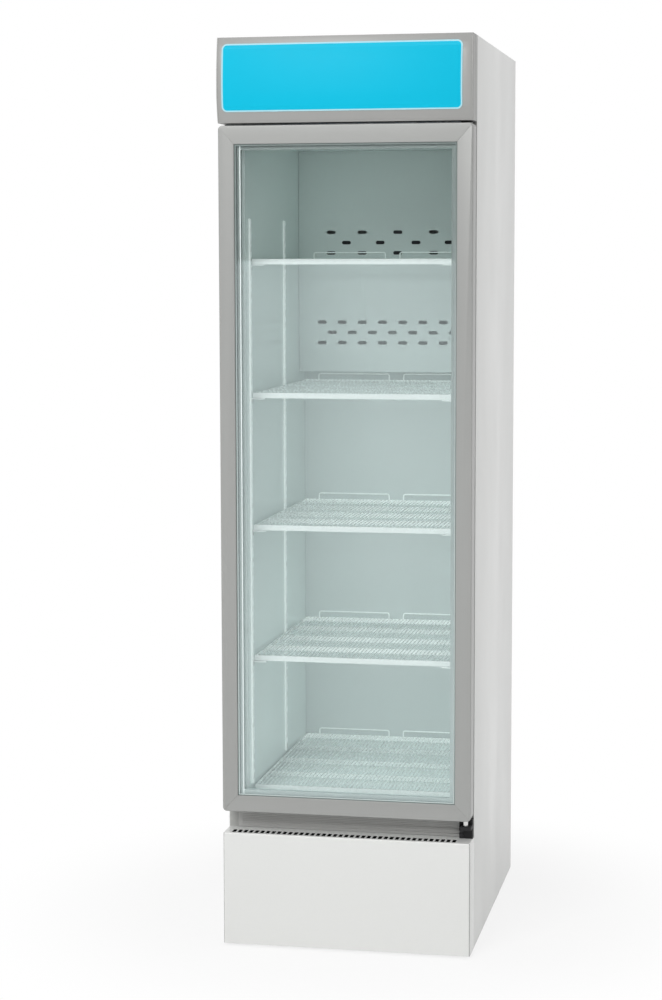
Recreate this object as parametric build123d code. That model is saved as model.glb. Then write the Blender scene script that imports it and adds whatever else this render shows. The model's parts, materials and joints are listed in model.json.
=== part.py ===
from build123d import *
import math
import os

# An upright display cooler with one hinged glass door, five wire shelves, a lit
# sign canopy above the door and the refrigeration machinery in its base.
# Millimetres. X runs across the front, Y runs back from the door's front face
# and Z runs up from the floor. Saving a piece moves it in Y alone, so that the
# origin is the middle of the cooler's footprint. Cuts run about 1 mm past the
# faces they open.

# Casing
WIDTH = 560.0
DEPTH = 760.0
HEIGHT = 2018.0
CASING_BOTTOM = 5.0
SHEET = 1.0
PLATE = 2.0
FRONT_FLANGE = 21.5
REAR_FLANGE = 16.0
LOWER_PANEL_TOP = 260.0
RECESS_HEIGHT = 49.0
CANOPY_HEIGHT = 183.5
DOOR_GAP = 5.0

# Running, resting and edge clearances
RUNNING = 0.05
REST_GAP = 0.3

# Cold room, measured inwards from the casing and the door's edges
SIDE_WALL = 45.0
BACK_WALL = 62.0
FLOOR_STEP = 25.0
CEILING_STEP = 29.5
FLOOR_WALL = 44.0
CEILING_WALL = 50.0
LINER_SHEET = 1.5
BREAKER_LIP = 12.0

# Door frame
DOOR_THICKNESS = 47.0
STILE = 35.0
RAIL = 40.0
BOTTOM_RAIL = 37.0
FRAME_WALL = 2.5
FRAME_LIP = 5.0
GLASS_REBATE = 7.0
DOOR_CORNER = 9.0
DOOR_EDGE = 2.5
BEZEL_CHAMFER = 1.2
MITRE_LINE = 0.5

# Glazing
GLASS = 4.0
GLASS_SPACE = 12.0
GLASS_EDGE_GAP = 1.0
SEAL = 1.0
SEAL_SHOW = 4.0
SEAL_NOSE = 1.5
SPACER_SHOW = 12.5
SPACER_WIDTH = 13.5
BEAD_SETBACK = 2.0

# Door gasket
GASKET_WIDTH = 18.0
GASKET_BASE = 3.0
GASKET_BELLOWS = 10.0
GASKET_HEAD = 4.0
GASKET_HEAD_MARGIN = 1.0
GASKET_THICKNESS = 13.7
GASKET_SIDE_INSET = 18.0
GASKET_END_INSET = 3.0

# Recessed grip in the door's free edge
GRIP_HEIGHT = 220.0
GRIP_CENTRE = 1010.0
GRIP_REACH = 16.0
GRIP_FRONT = 13.0
GRIP_WIDTH = 22.0
GRIP_WALL = 1.5

# Door hinges
HINGE_INSET = 15.0
HINGE_BACK = 32.0
PIN_RADIUS = 4.0
PIN_SHOULDER = 5.5
PIN_ENGAGEMENT = 15.5
BUSH_RADIUS = 6.0
BUSH_FLANGE = 9.0
BUSH_LENGTH = 18.0
TOP_ARM = 3.0
TOP_ARM_CLEARANCE = 0.2
TOP_ARM_FRONT = 18.0
TOP_ARM_WIDTH = 26.5
TOP_LEG = 3.0
TOP_LEG_RISE = 36.0
TOP_ARM_SHIFT = 2.0
TOP_SCREW_RISES = (25.5, 35.0)
BOTTOM_ARM = 8.0
BOTTOM_ARM_DROP = 17.0
BOTTOM_ARM_FRONT = 20.0
HINGE_BLOCK_WIDTH = 30.0
HINGE_BLOCK_DEPTH = 16.0
HINGE_BLOCK_DROP = 5.0
HINGE_BLOCK_EDGE = 1.5
BOTTOM_SCREW_RISES = (7.0, 18.0)

# Lower front panel
FRONT_SHEET = 1.2
FRONT_CORNER = 5.0
FRONT_TOP_EDGE = 3.0
LEDGE_SLOTS = 40
LEDGE_SLOT_PITCH = 12.8
LEDGE_SLOT_SHIFT = -8.0
LEDGE_SLOT_WIDTH = 8.5
LEDGE_SLOT_LENGTH = 27.0
LEDGE_SLOT_FRONT = 8.0

# Ribbed band behind the door's lower edge
RIB_PITCH = 4.0
RIB_HEIGHT = 2.0
RIB_DEPTH = 0.8
RIB_HALF = 248.0

# Canopy and its lamp
CANOPY_BULGE = 11.0
CANOPY_APEX = 70.5
CANOPY_SHELL = 2.0
CANOPY_UNDERCUT = 7.0
CAP_THICKNESS = 3.0
CAP_GROOVE = 0.8
CAP_GROOVE_WIDTH = 1.6
CAP_GROOVES = (22.0, 50.0)
SIGN_HALF = 263.0
SIGN_SHIFT = -5.5
SIGN_HEIGHT = 146.0
SIGN_RISE = 23.3
SIGN_CORNER = 12.0
SIGN_THICKNESS = 1.5
SIGN_OVERLAP = 9.0
LAMP_RADIUS = 13.0
LAMP_HALF = 244.0
LAMP_BACK = 32.0
LAMP_RISE = 90.5
HOLDER_WIDTH = 16.0
HOLDER_HALF_HEIGHT = 17.0
HOLDER_SOCKET = 4.0

# Shelves
SHELVES = 5
BOTTOM_SHELF_RISE = 15.0
TOP_SPACE = 259.0
SHELF_HALF = 229.0
SHELF_FRONT = 103.0
SHELF_BACK_GAP = 21.0
SHELF_BANDS = 3
SHELF_BAND_PITCH = 143.5
SHELF_DEPTH = 12.0
SHELF_BAR = 3.0
SHELF_WIRE = 1.5
WIRE_PITCH = 9.0
WIRES = 51
STOP_HEIGHT = 15.5
STOP_INNER = 18.0
STOP_OUTER = 195.0
STOP_BEND = 5.0

# Shelf rails and their clips
RAIL_WIDTH = 14.0
RAIL_PROUD = 4.0
RAIL_SHEET = 1.2
RAIL_FRONT = 101.5
RAIL_REAR = 455.0
RAIL_RISE = 18.5
RAIL_TOP_GAP = 170.0
RAIL_SLOTS_PER_SHELF = 12
RAIL_SLOT_HEIGHT = 3.0
RAIL_SLOT_WIDTH = 8.0
CLIP_SHEET = 2.5
CLIP_PLATE = 1.5
CLIP_WIDTH = 12.0
CLIP_REACH = 31.0
CLIP_PLATE_HEIGHT = 12.0
CLIP_TAB_DROP = 7.0
CLIP_TAB_PLAY = 0.4

# Air duct cover
DUCT_BACK_SPACE = 70.0
DUCT_SHEET = 1.5
DUCT_RISE = 21.5
DUCT_SIDE_GAP = 0.5
SHELF_DUCT_GAP = 8.0
AIR_SLOT_LENGTH = 22.4
AIR_SLOT_HEIGHT = 8.6
AIR_ROW_PITCH = 25.0
UPPER_ROW_RISE = 13.0
UPPER_OUTER_SLOTS = (-154.0, -77.0, 11.0, 99.0, 176.0)
UPPER_MIDDLE_SLOTS = (-116.0, -32.5, 55.8, 137.0)
LOWER_ROW_RISE = 71.0
LOWER_SLOT_PITCH = 50.0
LOWER_OUTER_SLOTS = 8
LOWER_MIDDLE_SLOTS = 7
LOWER_SLOT_SHIFT = -1.7
RETURN_SLOTS = 12
RETURN_SLOT_PITCH = 34.0

# Evaporator, its fan, drip pan and drain
COIL_TUBE = 4.5
COIL_PITCH = 25.0
COIL_ROWS = 4
COIL_COLUMN_GAP = 26.0
COIL_BACK_SPACE = 15.0
COIL_HALF = 186.0
COIL_RISE = 166.0
COIL_FIN = 1.0
COIL_FIN_PITCH = 12.0
COIL_FIN_MARGIN = 12.0
COIL_STUB = 10.0
PAN_HALF = 205.0
PAN_HEIGHT = 12.0
PAN_WALL = 1.5
PAN_DROP = 22.0
DRAIN_RADIUS = 8.0
DRAIN_BORE = 6.0
DRAIN_X = -160.0
DRAIN_BEND = 22.0
DRAIN_DROP = 26.4
DRAIN_END = 60.0
COLD_FAN_X = 11.0
COLD_FAN_FRAME = 120.0
COLD_FAN_DEPTH = 25.0
COLD_FAN_OPENING = 56.0
COLD_FAN_RADIUS = 52.0
COLD_FAN_HUB = 18.0
COLD_FAN_BLADES = 7
COLD_FAN_BLADE_DEPTH = 16.0
COLD_FAN_SHAFT = 2.5
COLD_FAN_CORNER = 6.0
COLD_MOTOR_PROUD = 12.0

# Pipe chase in the back insulation
CHASE_LEFT = -232.0
CHASE_RIGHT = -140.0
CHASE_DEPTH = 23.0
PIPE_BACK = 15.0
PIPE_CLEARANCE = 2.0

# Base pan and levelling feet
PAN_FLOOR = 6.0
BASE_PLATE = 2.0
BASE_FLANGE = 22.0
FOOT_INSET = 40.0
FOOT_FRONT = 110.0
FOOT_REAR = 50.0
FOOT_PAD = 20.0
FOOT_PAD_HEIGHT = 5.7
FOOT_STEM = 5.0
FOOT_STEM_TOP = 45.0
FOOT_CLEARANCE = 0.08
FOOT_NUT = 10.0
FOOT_NUT_HEIGHT = 14.0

# Compressor
COMPRESSOR_X = 110.0
COMPRESSOR_BACK = 150.0
COMPRESSOR_RADIUS = 85.0
COMPRESSOR_HEIGHT = 177.0
COMPRESSOR_DOME = 45.0
COMPRESSOR_FOOT_HEIGHT = 9.0
COMPRESSOR_FOOT_HALF = 82.0
COMPRESSOR_FOOT_PLATE = 3.0
COMPRESSOR_GROMMET = 10.0
COMPRESSOR_SEAM = 3.0
COMPRESSOR_STUB_RISE = 132.0
COMPRESSOR_STUB = 15.0
COMPRESSOR_STUB_RADIUS = 5.5

# Condenser and its fan
CONDENSER_LEFT = -215.0
CONDENSER_RIGHT = 150.0
CONDENSER_FRONT = 80.0
CONDENSER_DEPTH = 50.0
CONDENSER_HEIGHT = 222.0
CONDENSER_TUBE = 4.0
CONDENSER_PITCH = 25.0
CONDENSER_PASSES = 7
CONDENSER_FIRST = 47.0
CONDENSER_FIN = 0.8
CONDENSER_FIN_PITCH = 9.6
CONDENSER_STUB = 14.0
SHROUD = 1.5
SHROUD_COLLAR = 46.0
WARM_FAN_X = -40.0
WARM_FAN_RISE = 111.0
WARM_FAN_RADIUS = 100.0
WARM_FAN_TIP_GAP = 4.0
WARM_FAN_HUB = 22.0
WARM_FAN_BLADES = 5
WARM_FAN_FRONT = 150.0
WARM_FAN_BLADE_DEPTH = 25.0
WARM_FAN_SHAFT = 3.0
WARM_MOTOR_GAP = 10.0
WARM_MOTOR_RADIUS = 35.0
WARM_MOTOR_LENGTH = 50.0
WARM_MOTOR_EDGE = 4.0
PEDESTAL_WIDTH = 30.0
PEDESTAL_FOOT = 80.0
PEDESTAL_PLATE = 3.0
BLADE_SHEET = 1.5
BLADE_PITCH = 28.0

# Refrigerant pipes
SUCTION_RADIUS = 4.0
SUCTION_X = -222.0
DISCHARGE_RADIUS = 3.0
DISCHARGE_X = 200.0
DISCHARGE_TURN = 430.0
LIQUID_RADIUS = 2.5
LIQUID_X = -209.0
LIQUID_SIDE_X = -253.0
LIQUID_RISE = 30.0
DRIER_RADIUS = 9.0
DRIER_FRONT = 260.0
DRIER_LENGTH = 90.0
PIPE_BEND = 9.0

# Drip tray for the drain water
TRAY_LEFT = -222.0
TRAY_RIGHT = -20.0
TRAY_FRONT = 540.0
TRAY_HEIGHT = 40.0
TRAY_WALL = 2.0

# Electrical box at the back
BOX_LEFT = 100.0
BOX_RIGHT = 256.0
BOX_DEPTH = 38.0
BOX_BACK_SPACE = 22.0
BOX_HEIGHT = 98.0
BOX_SHEET = 1.5
BOX_PANEL_DROP = 53.0
KNOB_X = 130.0
KNOB_RADIUS = 14.0
KNOB_LENGTH = 11.0
KNOB_SHAFT = 3.0
KNOB_GAP = 2.0
KNOB_EDGE = 1.0
KNOB_POINTER = 2.0
KNOB_FLUTES = 12
KNOB_FLUTE_RADIUS = 2.0
THERMOSTAT_RADIUS = 15.0
THERMOSTAT_LENGTH = 18.0
SWITCH_X = 175.0
ROCKER_RADIUS = 9.0
ROCKER_LENGTH = 19.4
ROCKER_PIN = 1.5
ROCKER_PIN_LENGTH = 2.0
ROCKER_REST_TILT = 10.0
ROCKER_SETBACK = 1.0
ROCKER_NOTCH_ROOT = 5.0
SWITCH_HALF_WIDTH = 14.0
SWITCH_HALF_HEIGHT = 13.0
SWITCH_DEPTH = 19.0
SWITCH_PROUD = 3.0
INLET_X = 225.0
INLET_WIDTH = 30.0
INLET_HEIGHT = 22.0
INLET_FLANGE_WIDTH = 44.0
INLET_FLANGE = 3.0
INLET_DEPTH = 16.0
INLET_SOCKET_WIDTH = 24.5
INLET_SOCKET_HEIGHT = 17.0
INLET_SOCKET_DEPTH = 15.0
CONTACT_PITCH = 7.0
CONTACT_WIDTH = 2.0
CONTACT_HEIGHT = 4.0

# Rear grille
GRILLE_SLOT_PITCH = 12.0
GRILLE_SLOT_HEIGHT = 5.0
GRILLE_SLOT_LENGTH = 150.0
GRILLE_COLUMNS = 3
GRILLE_MARGIN = 22.0
GRILLE_WINDOW_EDGE = 4.0
GRILLE_WINDOW_DROP = 15.0

# Screws
SCREW_SHANK = 2.0
SCREW_HEAD = 4.0
SCREW_HEAD_HEIGHT = 2.2
SCREW_LENGTH = 8.0
SCREW_SLOT = 0.9
SCREW_EDGE = 7.5
BACK_SCREW_ROWS = 4
GRILLE_SCREW_ROWS = 3

# Planes worked out from the sizes above
HALF = WIDTH / 2
INSIDE_HALF = HALF - SHEET
FLANGE_HALF = HALF - FRONT_FLANGE
REAR_FLANGE_HALF = HALF - REAR_FLANGE
ROOF_UNDERSIDE = HEIGHT - SHEET
CABINET_FACE = DOOR_THICKNESS + GASKET_THICKNESS + REST_GAP
BACK_INSIDE = DEPTH - SHEET
BACK_FLANGE_FACE = BACK_INSIDE - SHEET
DOOR_BOTTOM = LOWER_PANEL_TOP + RECESS_HEIGHT
CANOPY_BOTTOM = HEIGHT - CANOPY_HEIGHT
DOOR_TOP = CANOPY_BOTTOM - DOOR_GAP

LINER_HALF = HALF - SIDE_WALL
LINER_FLOOR = DOOR_BOTTOM + FLOOR_STEP
LINER_CEILING = DOOR_TOP - CEILING_STEP
LINER_BACK = DEPTH - BACK_WALL
BREAKER_BACK = CABINET_FACE + PLATE
LINER_FRONT = BREAKER_BACK + BREAKER_LIP
DECK_TOP = LINER_FLOOR - FLOOR_WALL
DECK_UNDERSIDE = DECK_TOP - LINER_SHEET
SILL_TOP = DOOR_BOTTOM + SHEET
BREAKER_TOP = DOOR_TOP + LINER_SHEET
FOAM_TOP = LINER_CEILING + CEILING_WALL
PIPE_PLANE = DEPTH - PIPE_BACK
CHASE_FRONT = BACK_FLANGE_FACE - CHASE_DEPTH

BEZEL_HALF = HALF - STILE
BEZEL_BOTTOM = DOOR_BOTTOM + BOTTOM_RAIL
BEZEL_TOP = DOOR_TOP - RAIL
OUTER_GLASS_FRONT = FRAME_LIP + SEAL
OUTER_GLASS_BACK = OUTER_GLASS_FRONT + GLASS
INNER_GLASS_FRONT = OUTER_GLASS_BACK + GLASS_SPACE
INNER_GLASS_BACK = INNER_GLASS_FRONT + GLASS
BUSH_FLANGE_HEIGHT = DOOR_GAP - TOP_ARM - TOP_ARM_CLEARANCE - REST_GAP
HINGE_X = HALF - HINGE_INSET
TOP_ARM_TOP = CANOPY_BOTTOM - TOP_ARM_CLEARANCE
TOP_ARM_BOTTOM = TOP_ARM_TOP - TOP_ARM
BOTTOM_ARM_TOP = DOOR_BOTTOM - BOTTOM_ARM_DROP
HINGE_SCREW_X = FLANGE_HALF - SCREW_HEAD - REST_GAP
TOP_HINGE_SCREWS = [BREAKER_TOP + rise for rise in TOP_SCREW_RISES]
BOTTOM_HINGE_SCREWS = [LOWER_PANEL_TOP + rise for rise in BOTTOM_SCREW_RISES]

CANOPY_HALF = HALF - CAP_THICKNESS
CANOPY_PEAK = CANOPY_BOTTOM + CANOPY_APEX
LAMP_Z = CANOPY_BOTTOM + LAMP_RISE

BOTTOM_SHELF = LINER_FLOOR + BOTTOM_SHELF_RISE
SHELF_PITCH = (LINER_CEILING - BOTTOM_SHELF - TOP_SPACE) / (SHELVES - 1)
SHELF_TOPS = [BOTTOM_SHELF + SHELF_PITCH * (SHELVES - 1 - n) for n in range(SHELVES)]
SHELF_REAR = LINER_BACK - SHELF_BACK_GAP
DUCT_FRONT = LINER_BACK - DUCT_BACK_SPACE
DUCT_BOTTOM = SHELF_TOPS[1] + DUCT_RISE
TOP_SHELF_REAR = DUCT_FRONT - SHELF_DUCT_GAP
RAIL_BOTTOM = LINER_FLOOR + RAIL_RISE
RAIL_TOP = LINER_CEILING - RAIL_TOP_GAP
RAIL_FACE = LINER_HALF - RAIL_PROUD

COIL_BOTTOM_ROW = DUCT_BOTTOM + COIL_RISE
COIL_REAR_COLUMN = LINER_BACK - COIL_BACK_SPACE
COIL_FRONT_COLUMN = COIL_REAR_COLUMN - COIL_COLUMN_GAP
PAN_BOTTOM = COIL_BOTTOM_ROW - COIL_FIN_MARGIN - PAN_DROP
COLD_FAN_Z = SHELF_TOPS[0] + UPPER_ROW_RISE + AIR_ROW_PITCH
COLD_FAN_FRONT = DUCT_FRONT + DUCT_SHEET

PAN_TOP = PAN_FLOOR + BASE_PLATE
FOOT_X = HALF - FOOT_INSET
FOOT_PLACES = {
    "fl": (-FOOT_X, FOOT_FRONT),
    "fr": (FOOT_X, FOOT_FRONT),
    "rl": (-FOOT_X, DEPTH - FOOT_REAR),
    "rr": (FOOT_X, DEPTH - FOOT_REAR),
}

COMPRESSOR_Y = DEPTH - COMPRESSOR_BACK
COMPRESSOR_BOTTOM = PAN_TOP + COMPRESSOR_FOOT_HEIGHT
COMPRESSOR_STUB_Z = PAN_TOP + COMPRESSOR_STUB_RISE
SUCTION_STUB_X = COMPRESSOR_X - COMPRESSOR_RADIUS - COMPRESSOR_STUB
DISCHARGE_STUB_Y = COMPRESSOR_Y - COMPRESSOR_RADIUS - COMPRESSOR_STUB
CONDENSER_BACK = CONDENSER_FRONT + CONDENSER_DEPTH
CONDENSER_MIDDLE = CONDENSER_FRONT + CONDENSER_DEPTH / 2
CONDENSER_BOTTOM_PASS = PAN_TOP + CONDENSER_FIRST
CONDENSER_TOP_PASS = CONDENSER_BOTTOM_PASS + CONDENSER_PITCH * (CONDENSER_PASSES - 1)
WARM_FAN_Z = PAN_TOP + WARM_FAN_RISE
WARM_MOTOR_FRONT = WARM_FAN_FRONT + WARM_FAN_BLADE_DEPTH + WARM_MOTOR_GAP

BOX_REAR = DEPTH - BOX_BACK_SPACE
BOX_TOP = DECK_UNDERSIDE - REST_GAP
PANEL_Z = BOX_TOP - BOX_PANEL_DROP
ROCKER_AXIS = BOX_REAR - ROCKER_SETBACK
REAR_SCREW_X = INSIDE_HALF - SCREW_EDGE

# Where the finished model's Y = 0 lies: half way between its frontmost and
# rearmost faces.
FRONT_REACH = CANOPY_BULGE + SIGN_THICKNESS
FOOTPRINT_MIDDLE = (DEPTH + SCREW_HEAD_HEIGHT - FRONT_REACH) / 2


def block(x, y, z):
    """A box between pairs of limits."""
    size = (x[1] - x[0], y[1] - y[0], z[1] - z[0])
    middle = ((x[0] + x[1]) / 2, (y[0] + y[1]) / 2, (z[0] + z[1]) / 2)
    return Pos(*middle) * Box(*size)


def rod_x(radius, x, y, z):
    """A rod across the cooler, between two X limits."""
    return Pos((x[0] + x[1]) / 2, y, z) * Rot(0, 90, 0) * Cylinder(radius, x[1] - x[0])


def rod_y(radius, x, y, z):
    """A rod from front to back, between two Y limits."""
    return Pos(x, (y[0] + y[1]) / 2, z) * Rot(90, 0, 0) * Cylinder(radius, y[1] - y[0])


def rod_z(radius, x, y, z):
    """An upright rod, between two Z limits."""
    return Pos(x, y, (z[0] + z[1]) / 2) * Cylinder(radius, z[1] - z[0])


def hoop(half, bottom, top, width, y):
    """A rectangular ring facing the front, its outer edges given."""
    outer = block((-half, half), y, (bottom, top))
    inner = block((width - half, half - width), (y[0] - 1, y[1] + 1), (bottom + width, top - width))
    return outer - inner


def profile_x(points, x):
    """A prism across the cooler from (Y, Z) corners."""
    face = make_face(Polyline(*[(0, y, z) for y, z in points], close=True))
    return Pos(x[0], 0, 0) * extrude(face, amount=x[1] - x[0], dir=(1, 0, 0))


def tube(points, radius, bend):
    """A round bar or pipe along straight runs joined by tangent arcs."""
    path = FilletPolyline(*points, radius=bend)
    start = Plane(origin=path @ 0, z_dir=path % 0)
    return sweep(start * Circle(radius), path=path)


def long_slot(x, y, z, length, height):
    """A round-ended slot through a front-facing sheet."""
    plane = Plane(origin=(x, y[0], z), x_dir=(1, 0, 0), z_dir=(0, 1, 0))
    return extrude(plane * SlotOverall(length, height), amount=y[1] - y[0])


def group(shapes):
    """Separate solids that share one node."""
    return Compound([solid for shape in shapes for solid in shape.solids()])


def mirrored(shape):
    return mirror(shape, about=Plane.YZ)


def evenly(first, last, count):
    return [first + (last - first) * k / (count - 1) for k in range(count)]


def centred(count, pitch):
    return [pitch * (k - (count - 1) / 2) for k in range(count)]


# Screws and the holes they pass through

def back_screw_heights():
    return evenly(DECK_TOP + 3 * SCREW_EDGE, HEIGHT - 3 * SCREW_EDGE, BACK_SCREW_ROWS)


def grille_screw_heights():
    return evenly(CASING_BOTTOM + 3 * SCREW_EDGE, DECK_TOP - 3 * SCREW_EDGE, GRILLE_SCREW_ROWS)


def screw(x, z, seat, facing, length=SCREW_LENGTH):
    """A slotted screw whose head stands on seat, towards facing -1 or 1 in Y."""
    head = rod_y(SCREW_HEAD, x, sorted((seat, seat + facing * SCREW_HEAD_HEIGHT)), z)
    shank = rod_y(SCREW_SHANK, x, sorted((seat, seat - facing * length)), z)
    top = seat + facing * SCREW_HEAD_HEIGHT
    slot = block(
        (x - SCREW_HEAD, x + SCREW_HEAD),
        sorted((top, top - facing * SCREW_SLOT)),
        (z - SCREW_SLOT / 2, z + SCREW_SLOT / 2),
    )
    return head + shank - slot


def screw_hole(x, z, y):
    return rod_y(SCREW_SHANK + RUNNING, x, y, z)


def rear_screw_holes(x, heights):
    return [screw_hole(x, z, (BACK_FLANGE_FACE - 1, DEPTH + 1)) for z in heights]


def screws():
    rear = [
        screw(side * REAR_SCREW_X, z, DEPTH, 1)
        for side in (-1, 1)
        for z in back_screw_heights() + grille_screw_heights()
    ]
    top = [screw(HINGE_SCREW_X, z, CABINET_FACE - TOP_LEG, -1) for z in TOP_HINGE_SCREWS]
    block_face = CABINET_FACE - HINGE_BLOCK_DEPTH
    through_block = HINGE_BLOCK_DEPTH + 2 * PLATE
    bottom = [screw(HINGE_SCREW_X, z, block_face, -1, through_block) for z in BOTTOM_HINGE_SCREWS]
    return group(rear + top + bottom)


# Casing

def side_panel():
    """The right side panel with its folded front and rear flanges."""
    wall = block((INSIDE_HALF, HALF), (CABINET_FACE, DEPTH), (CASING_BOTTOM, HEIGHT))
    flange_z = (CASING_BOTTOM, ROOF_UNDERSIDE)
    front = block((FLANGE_HALF, INSIDE_HALF), (CABINET_FACE, CABINET_FACE + SHEET), flange_z)
    rear = block((REAR_FLANGE_HALF, INSIDE_HALF), (BACK_FLANGE_FACE, BACK_INSIDE), flange_z)
    heights = back_screw_heights() + grille_screw_heights()
    return wall + front + rear - rear_screw_holes(REAR_SCREW_X, heights)


def back_panel():
    sheet = block((-INSIDE_HALF, INSIDE_HALF), (BACK_INSIDE, DEPTH), (DECK_TOP, HEIGHT))
    for side in (-1, 1):
        sheet -= rear_screw_holes(side * REAR_SCREW_X, back_screw_heights())
    return sheet


def top_panel():
    return block((-INSIDE_HALF, INSIDE_HALF), (CABINET_FACE, BACK_INSIDE), (ROOF_UNDERSIDE, HEIGHT))


def rear_grille():
    """Louvred cover over the machine space, with a window for the controls."""
    sheet = block(
        (-INSIDE_HALF, INSIDE_HALF), (BACK_INSIDE, DEPTH), (CASING_BOTTOM, DECK_TOP - PLATE)
    )
    for side in (-1, 1):
        sheet -= rear_screw_holes(side * REAR_SCREW_X, grille_screw_heights())
    window_z = (BOX_TOP - BOX_HEIGHT + GRILLE_WINDOW_EDGE, BOX_TOP - GRILLE_WINDOW_DROP)
    window_x = (BOX_LEFT + GRILLE_WINDOW_EDGE, BOX_RIGHT - GRILLE_WINDOW_EDGE)
    through = (BACK_INSIDE - 1, DEPTH + 1)
    cuts = [block(window_x, through, window_z)]
    rows = int((DECK_TOP - CASING_BOTTOM - 2 * GRILLE_MARGIN) / GRILLE_SLOT_PITCH)
    for row in range(rows):
        z = CASING_BOTTOM + GRILLE_MARGIN + row * GRILLE_SLOT_PITCH
        for x in centred(GRILLE_COLUMNS, GRILLE_SLOT_LENGTH + 2 * GRILLE_SLOT_PITCH):
            if x + GRILLE_SLOT_LENGTH / 2 > BOX_LEFT and z > window_z[0] - 2 * GRILLE_SLOT_HEIGHT:
                continue
            cuts.append(long_slot(x, through, z, GRILLE_SLOT_LENGTH, GRILLE_SLOT_HEIGHT))
    return sheet - cuts


def pipe_holes():
    """Clear ways through the back wall for the drain and the two pipes."""
    return [
        tube(drain_route(), DRAIN_RADIUS + PIPE_CLEARANCE, DRAIN_BEND),
        tube(suction_route(), SUCTION_RADIUS + PIPE_CLEARANCE, PIPE_BEND),
        tube(liquid_riser_route(), LIQUID_RADIUS + PIPE_CLEARANCE, PIPE_BEND),
    ]


def foam_insulation():
    """Foam between the casing and the liner, open at the front."""
    foam = block(
        (-INSIDE_HALF, INSIDE_HALF), (BREAKER_BACK, BACK_FLANGE_FACE), (DECK_TOP, FOAM_TOP)
    )
    lip = LINER_HALF + PLATE
    mouth = block(
        (-lip, lip), (BREAKER_BACK - 1, LINER_FRONT), (LINER_FLOOR - PLATE, LINER_CEILING + PLATE)
    )
    skin = LINER_HALF + LINER_SHEET
    room = block(
        (-skin, skin),
        (LINER_FRONT, LINER_BACK + LINER_SHEET),
        (LINER_FLOOR - LINER_SHEET, LINER_CEILING + LINER_SHEET),
    )
    chase_top = COIL_BOTTOM_ROW + 3 * LIQUID_RISE
    chase = block(
        (CHASE_LEFT, CHASE_RIGHT), (CHASE_FRONT, BACK_FLANGE_FACE + 1), (DECK_TOP - 1, chase_top)
    )
    channel = block(
        (REAR_FLANGE_HALF - PLATE, HALF),
        (DEPTH - 2 * SCREW_LENGTH, BACK_FLANGE_FACE + 1),
        (DECK_TOP - 1, FOAM_TOP + 1),
    )
    return foam - [mouth, room, chase, channel, mirrored(channel)] - pipe_holes()


def inner_liner():
    skin = LINER_HALF + LINER_SHEET
    shell = block(
        (-skin, skin),
        (LINER_FRONT, LINER_BACK + LINER_SHEET),
        (LINER_FLOOR - LINER_SHEET, LINER_CEILING + LINER_SHEET),
    )
    room = block(
        (-LINER_HALF, LINER_HALF), (LINER_FRONT - 1, LINER_BACK), (LINER_FLOOR, LINER_CEILING)
    )
    return shell - room - pipe_holes()


def breaker_frame():
    """The frame round the cold room's mouth, which the gasket closes on."""
    plate = block((-FLANGE_HALF, FLANGE_HALF), (CABINET_FACE, BREAKER_BACK), (SILL_TOP, BREAKER_TOP))
    lip_half = LINER_HALF + PLATE
    lip = block(
        (-lip_half, lip_half), (BREAKER_BACK, LINER_FRONT), (LINER_FLOOR - PLATE, LINER_CEILING + PLATE)
    )
    mouth = block(
        (-LINER_HALF, LINER_HALF), (CABINET_FACE - 1, LINER_FRONT + 1), (LINER_FLOOR, LINER_CEILING)
    )
    return plate + lip - mouth


def lower_crossmember():
    """Ribbed band under the door, and the deck that carries the cold room."""
    plate = block(
        (-FLANGE_HALF, FLANGE_HALF), (CABINET_FACE, BREAKER_BACK), (LOWER_PANEL_TOP + REST_GAP, SILL_TOP)
    )
    count = int((RECESS_HEIGHT - 2 * PLATE) / RIB_PITCH)
    first = LOWER_PANEL_TOP + 2 * PLATE
    ribs = [
        block(
            (-RIB_HALF, RIB_HALF),
            (CABINET_FACE - RIB_DEPTH, CABINET_FACE),
            (first + k * RIB_PITCH, first + k * RIB_PITCH + RIB_HEIGHT),
        )
        for k in range(count)
    ]
    deck = block((-INSIDE_HALF, INSIDE_HALF), (BREAKER_BACK, BACK_FLANGE_FACE), (DECK_UNDERSIDE, DECK_TOP))
    way = block(
        (CHASE_LEFT, CHASE_RIGHT),
        (CHASE_FRONT + PLATE, BACK_FLANGE_FACE + 1),
        (DECK_UNDERSIDE - 1, DECK_TOP + 1),
    )
    holes = [
        screw_hole(HINGE_SCREW_X, z, (CABINET_FACE - 1, BREAKER_BACK + 1)) for z in BOTTOM_HINGE_SCREWS
    ]
    return plate + ribs + deck - [way] - holes


def base_pan():
    """Bottom plate with weld nuts for the feet."""
    front, rear = CABINET_FACE + SHEET + REST_GAP, BACK_FLANGE_FACE - REST_GAP
    plate = block((-INSIDE_HALF, INSIDE_HALF), (front, rear), (PAN_FLOOR, PAN_TOP))
    flange_z = (PAN_TOP, PAN_TOP + BASE_FLANGE)
    front_flange = block((-INSIDE_HALF, INSIDE_HALF), (front, front + BASE_PLATE), flange_z)
    rear_flange = block((-REAR_FLANGE_HALF, REAR_FLANGE_HALF), (rear - BASE_PLATE, rear), flange_z)
    nuts = [rod_z(FOOT_NUT, x, y, (PAN_TOP, PAN_TOP + FOOT_NUT_HEIGHT)) for x, y in FOOT_PLACES.values()]
    bore_z = (PAN_FLOOR - 1, PAN_TOP + FOOT_NUT_HEIGHT + 1)
    bores = [rod_z(FOOT_STEM + FOOT_CLEARANCE, x, y, bore_z) for x, y in FOOT_PLACES.values()]
    return plate + [front_flange, rear_flange] + nuts - bores


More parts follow.
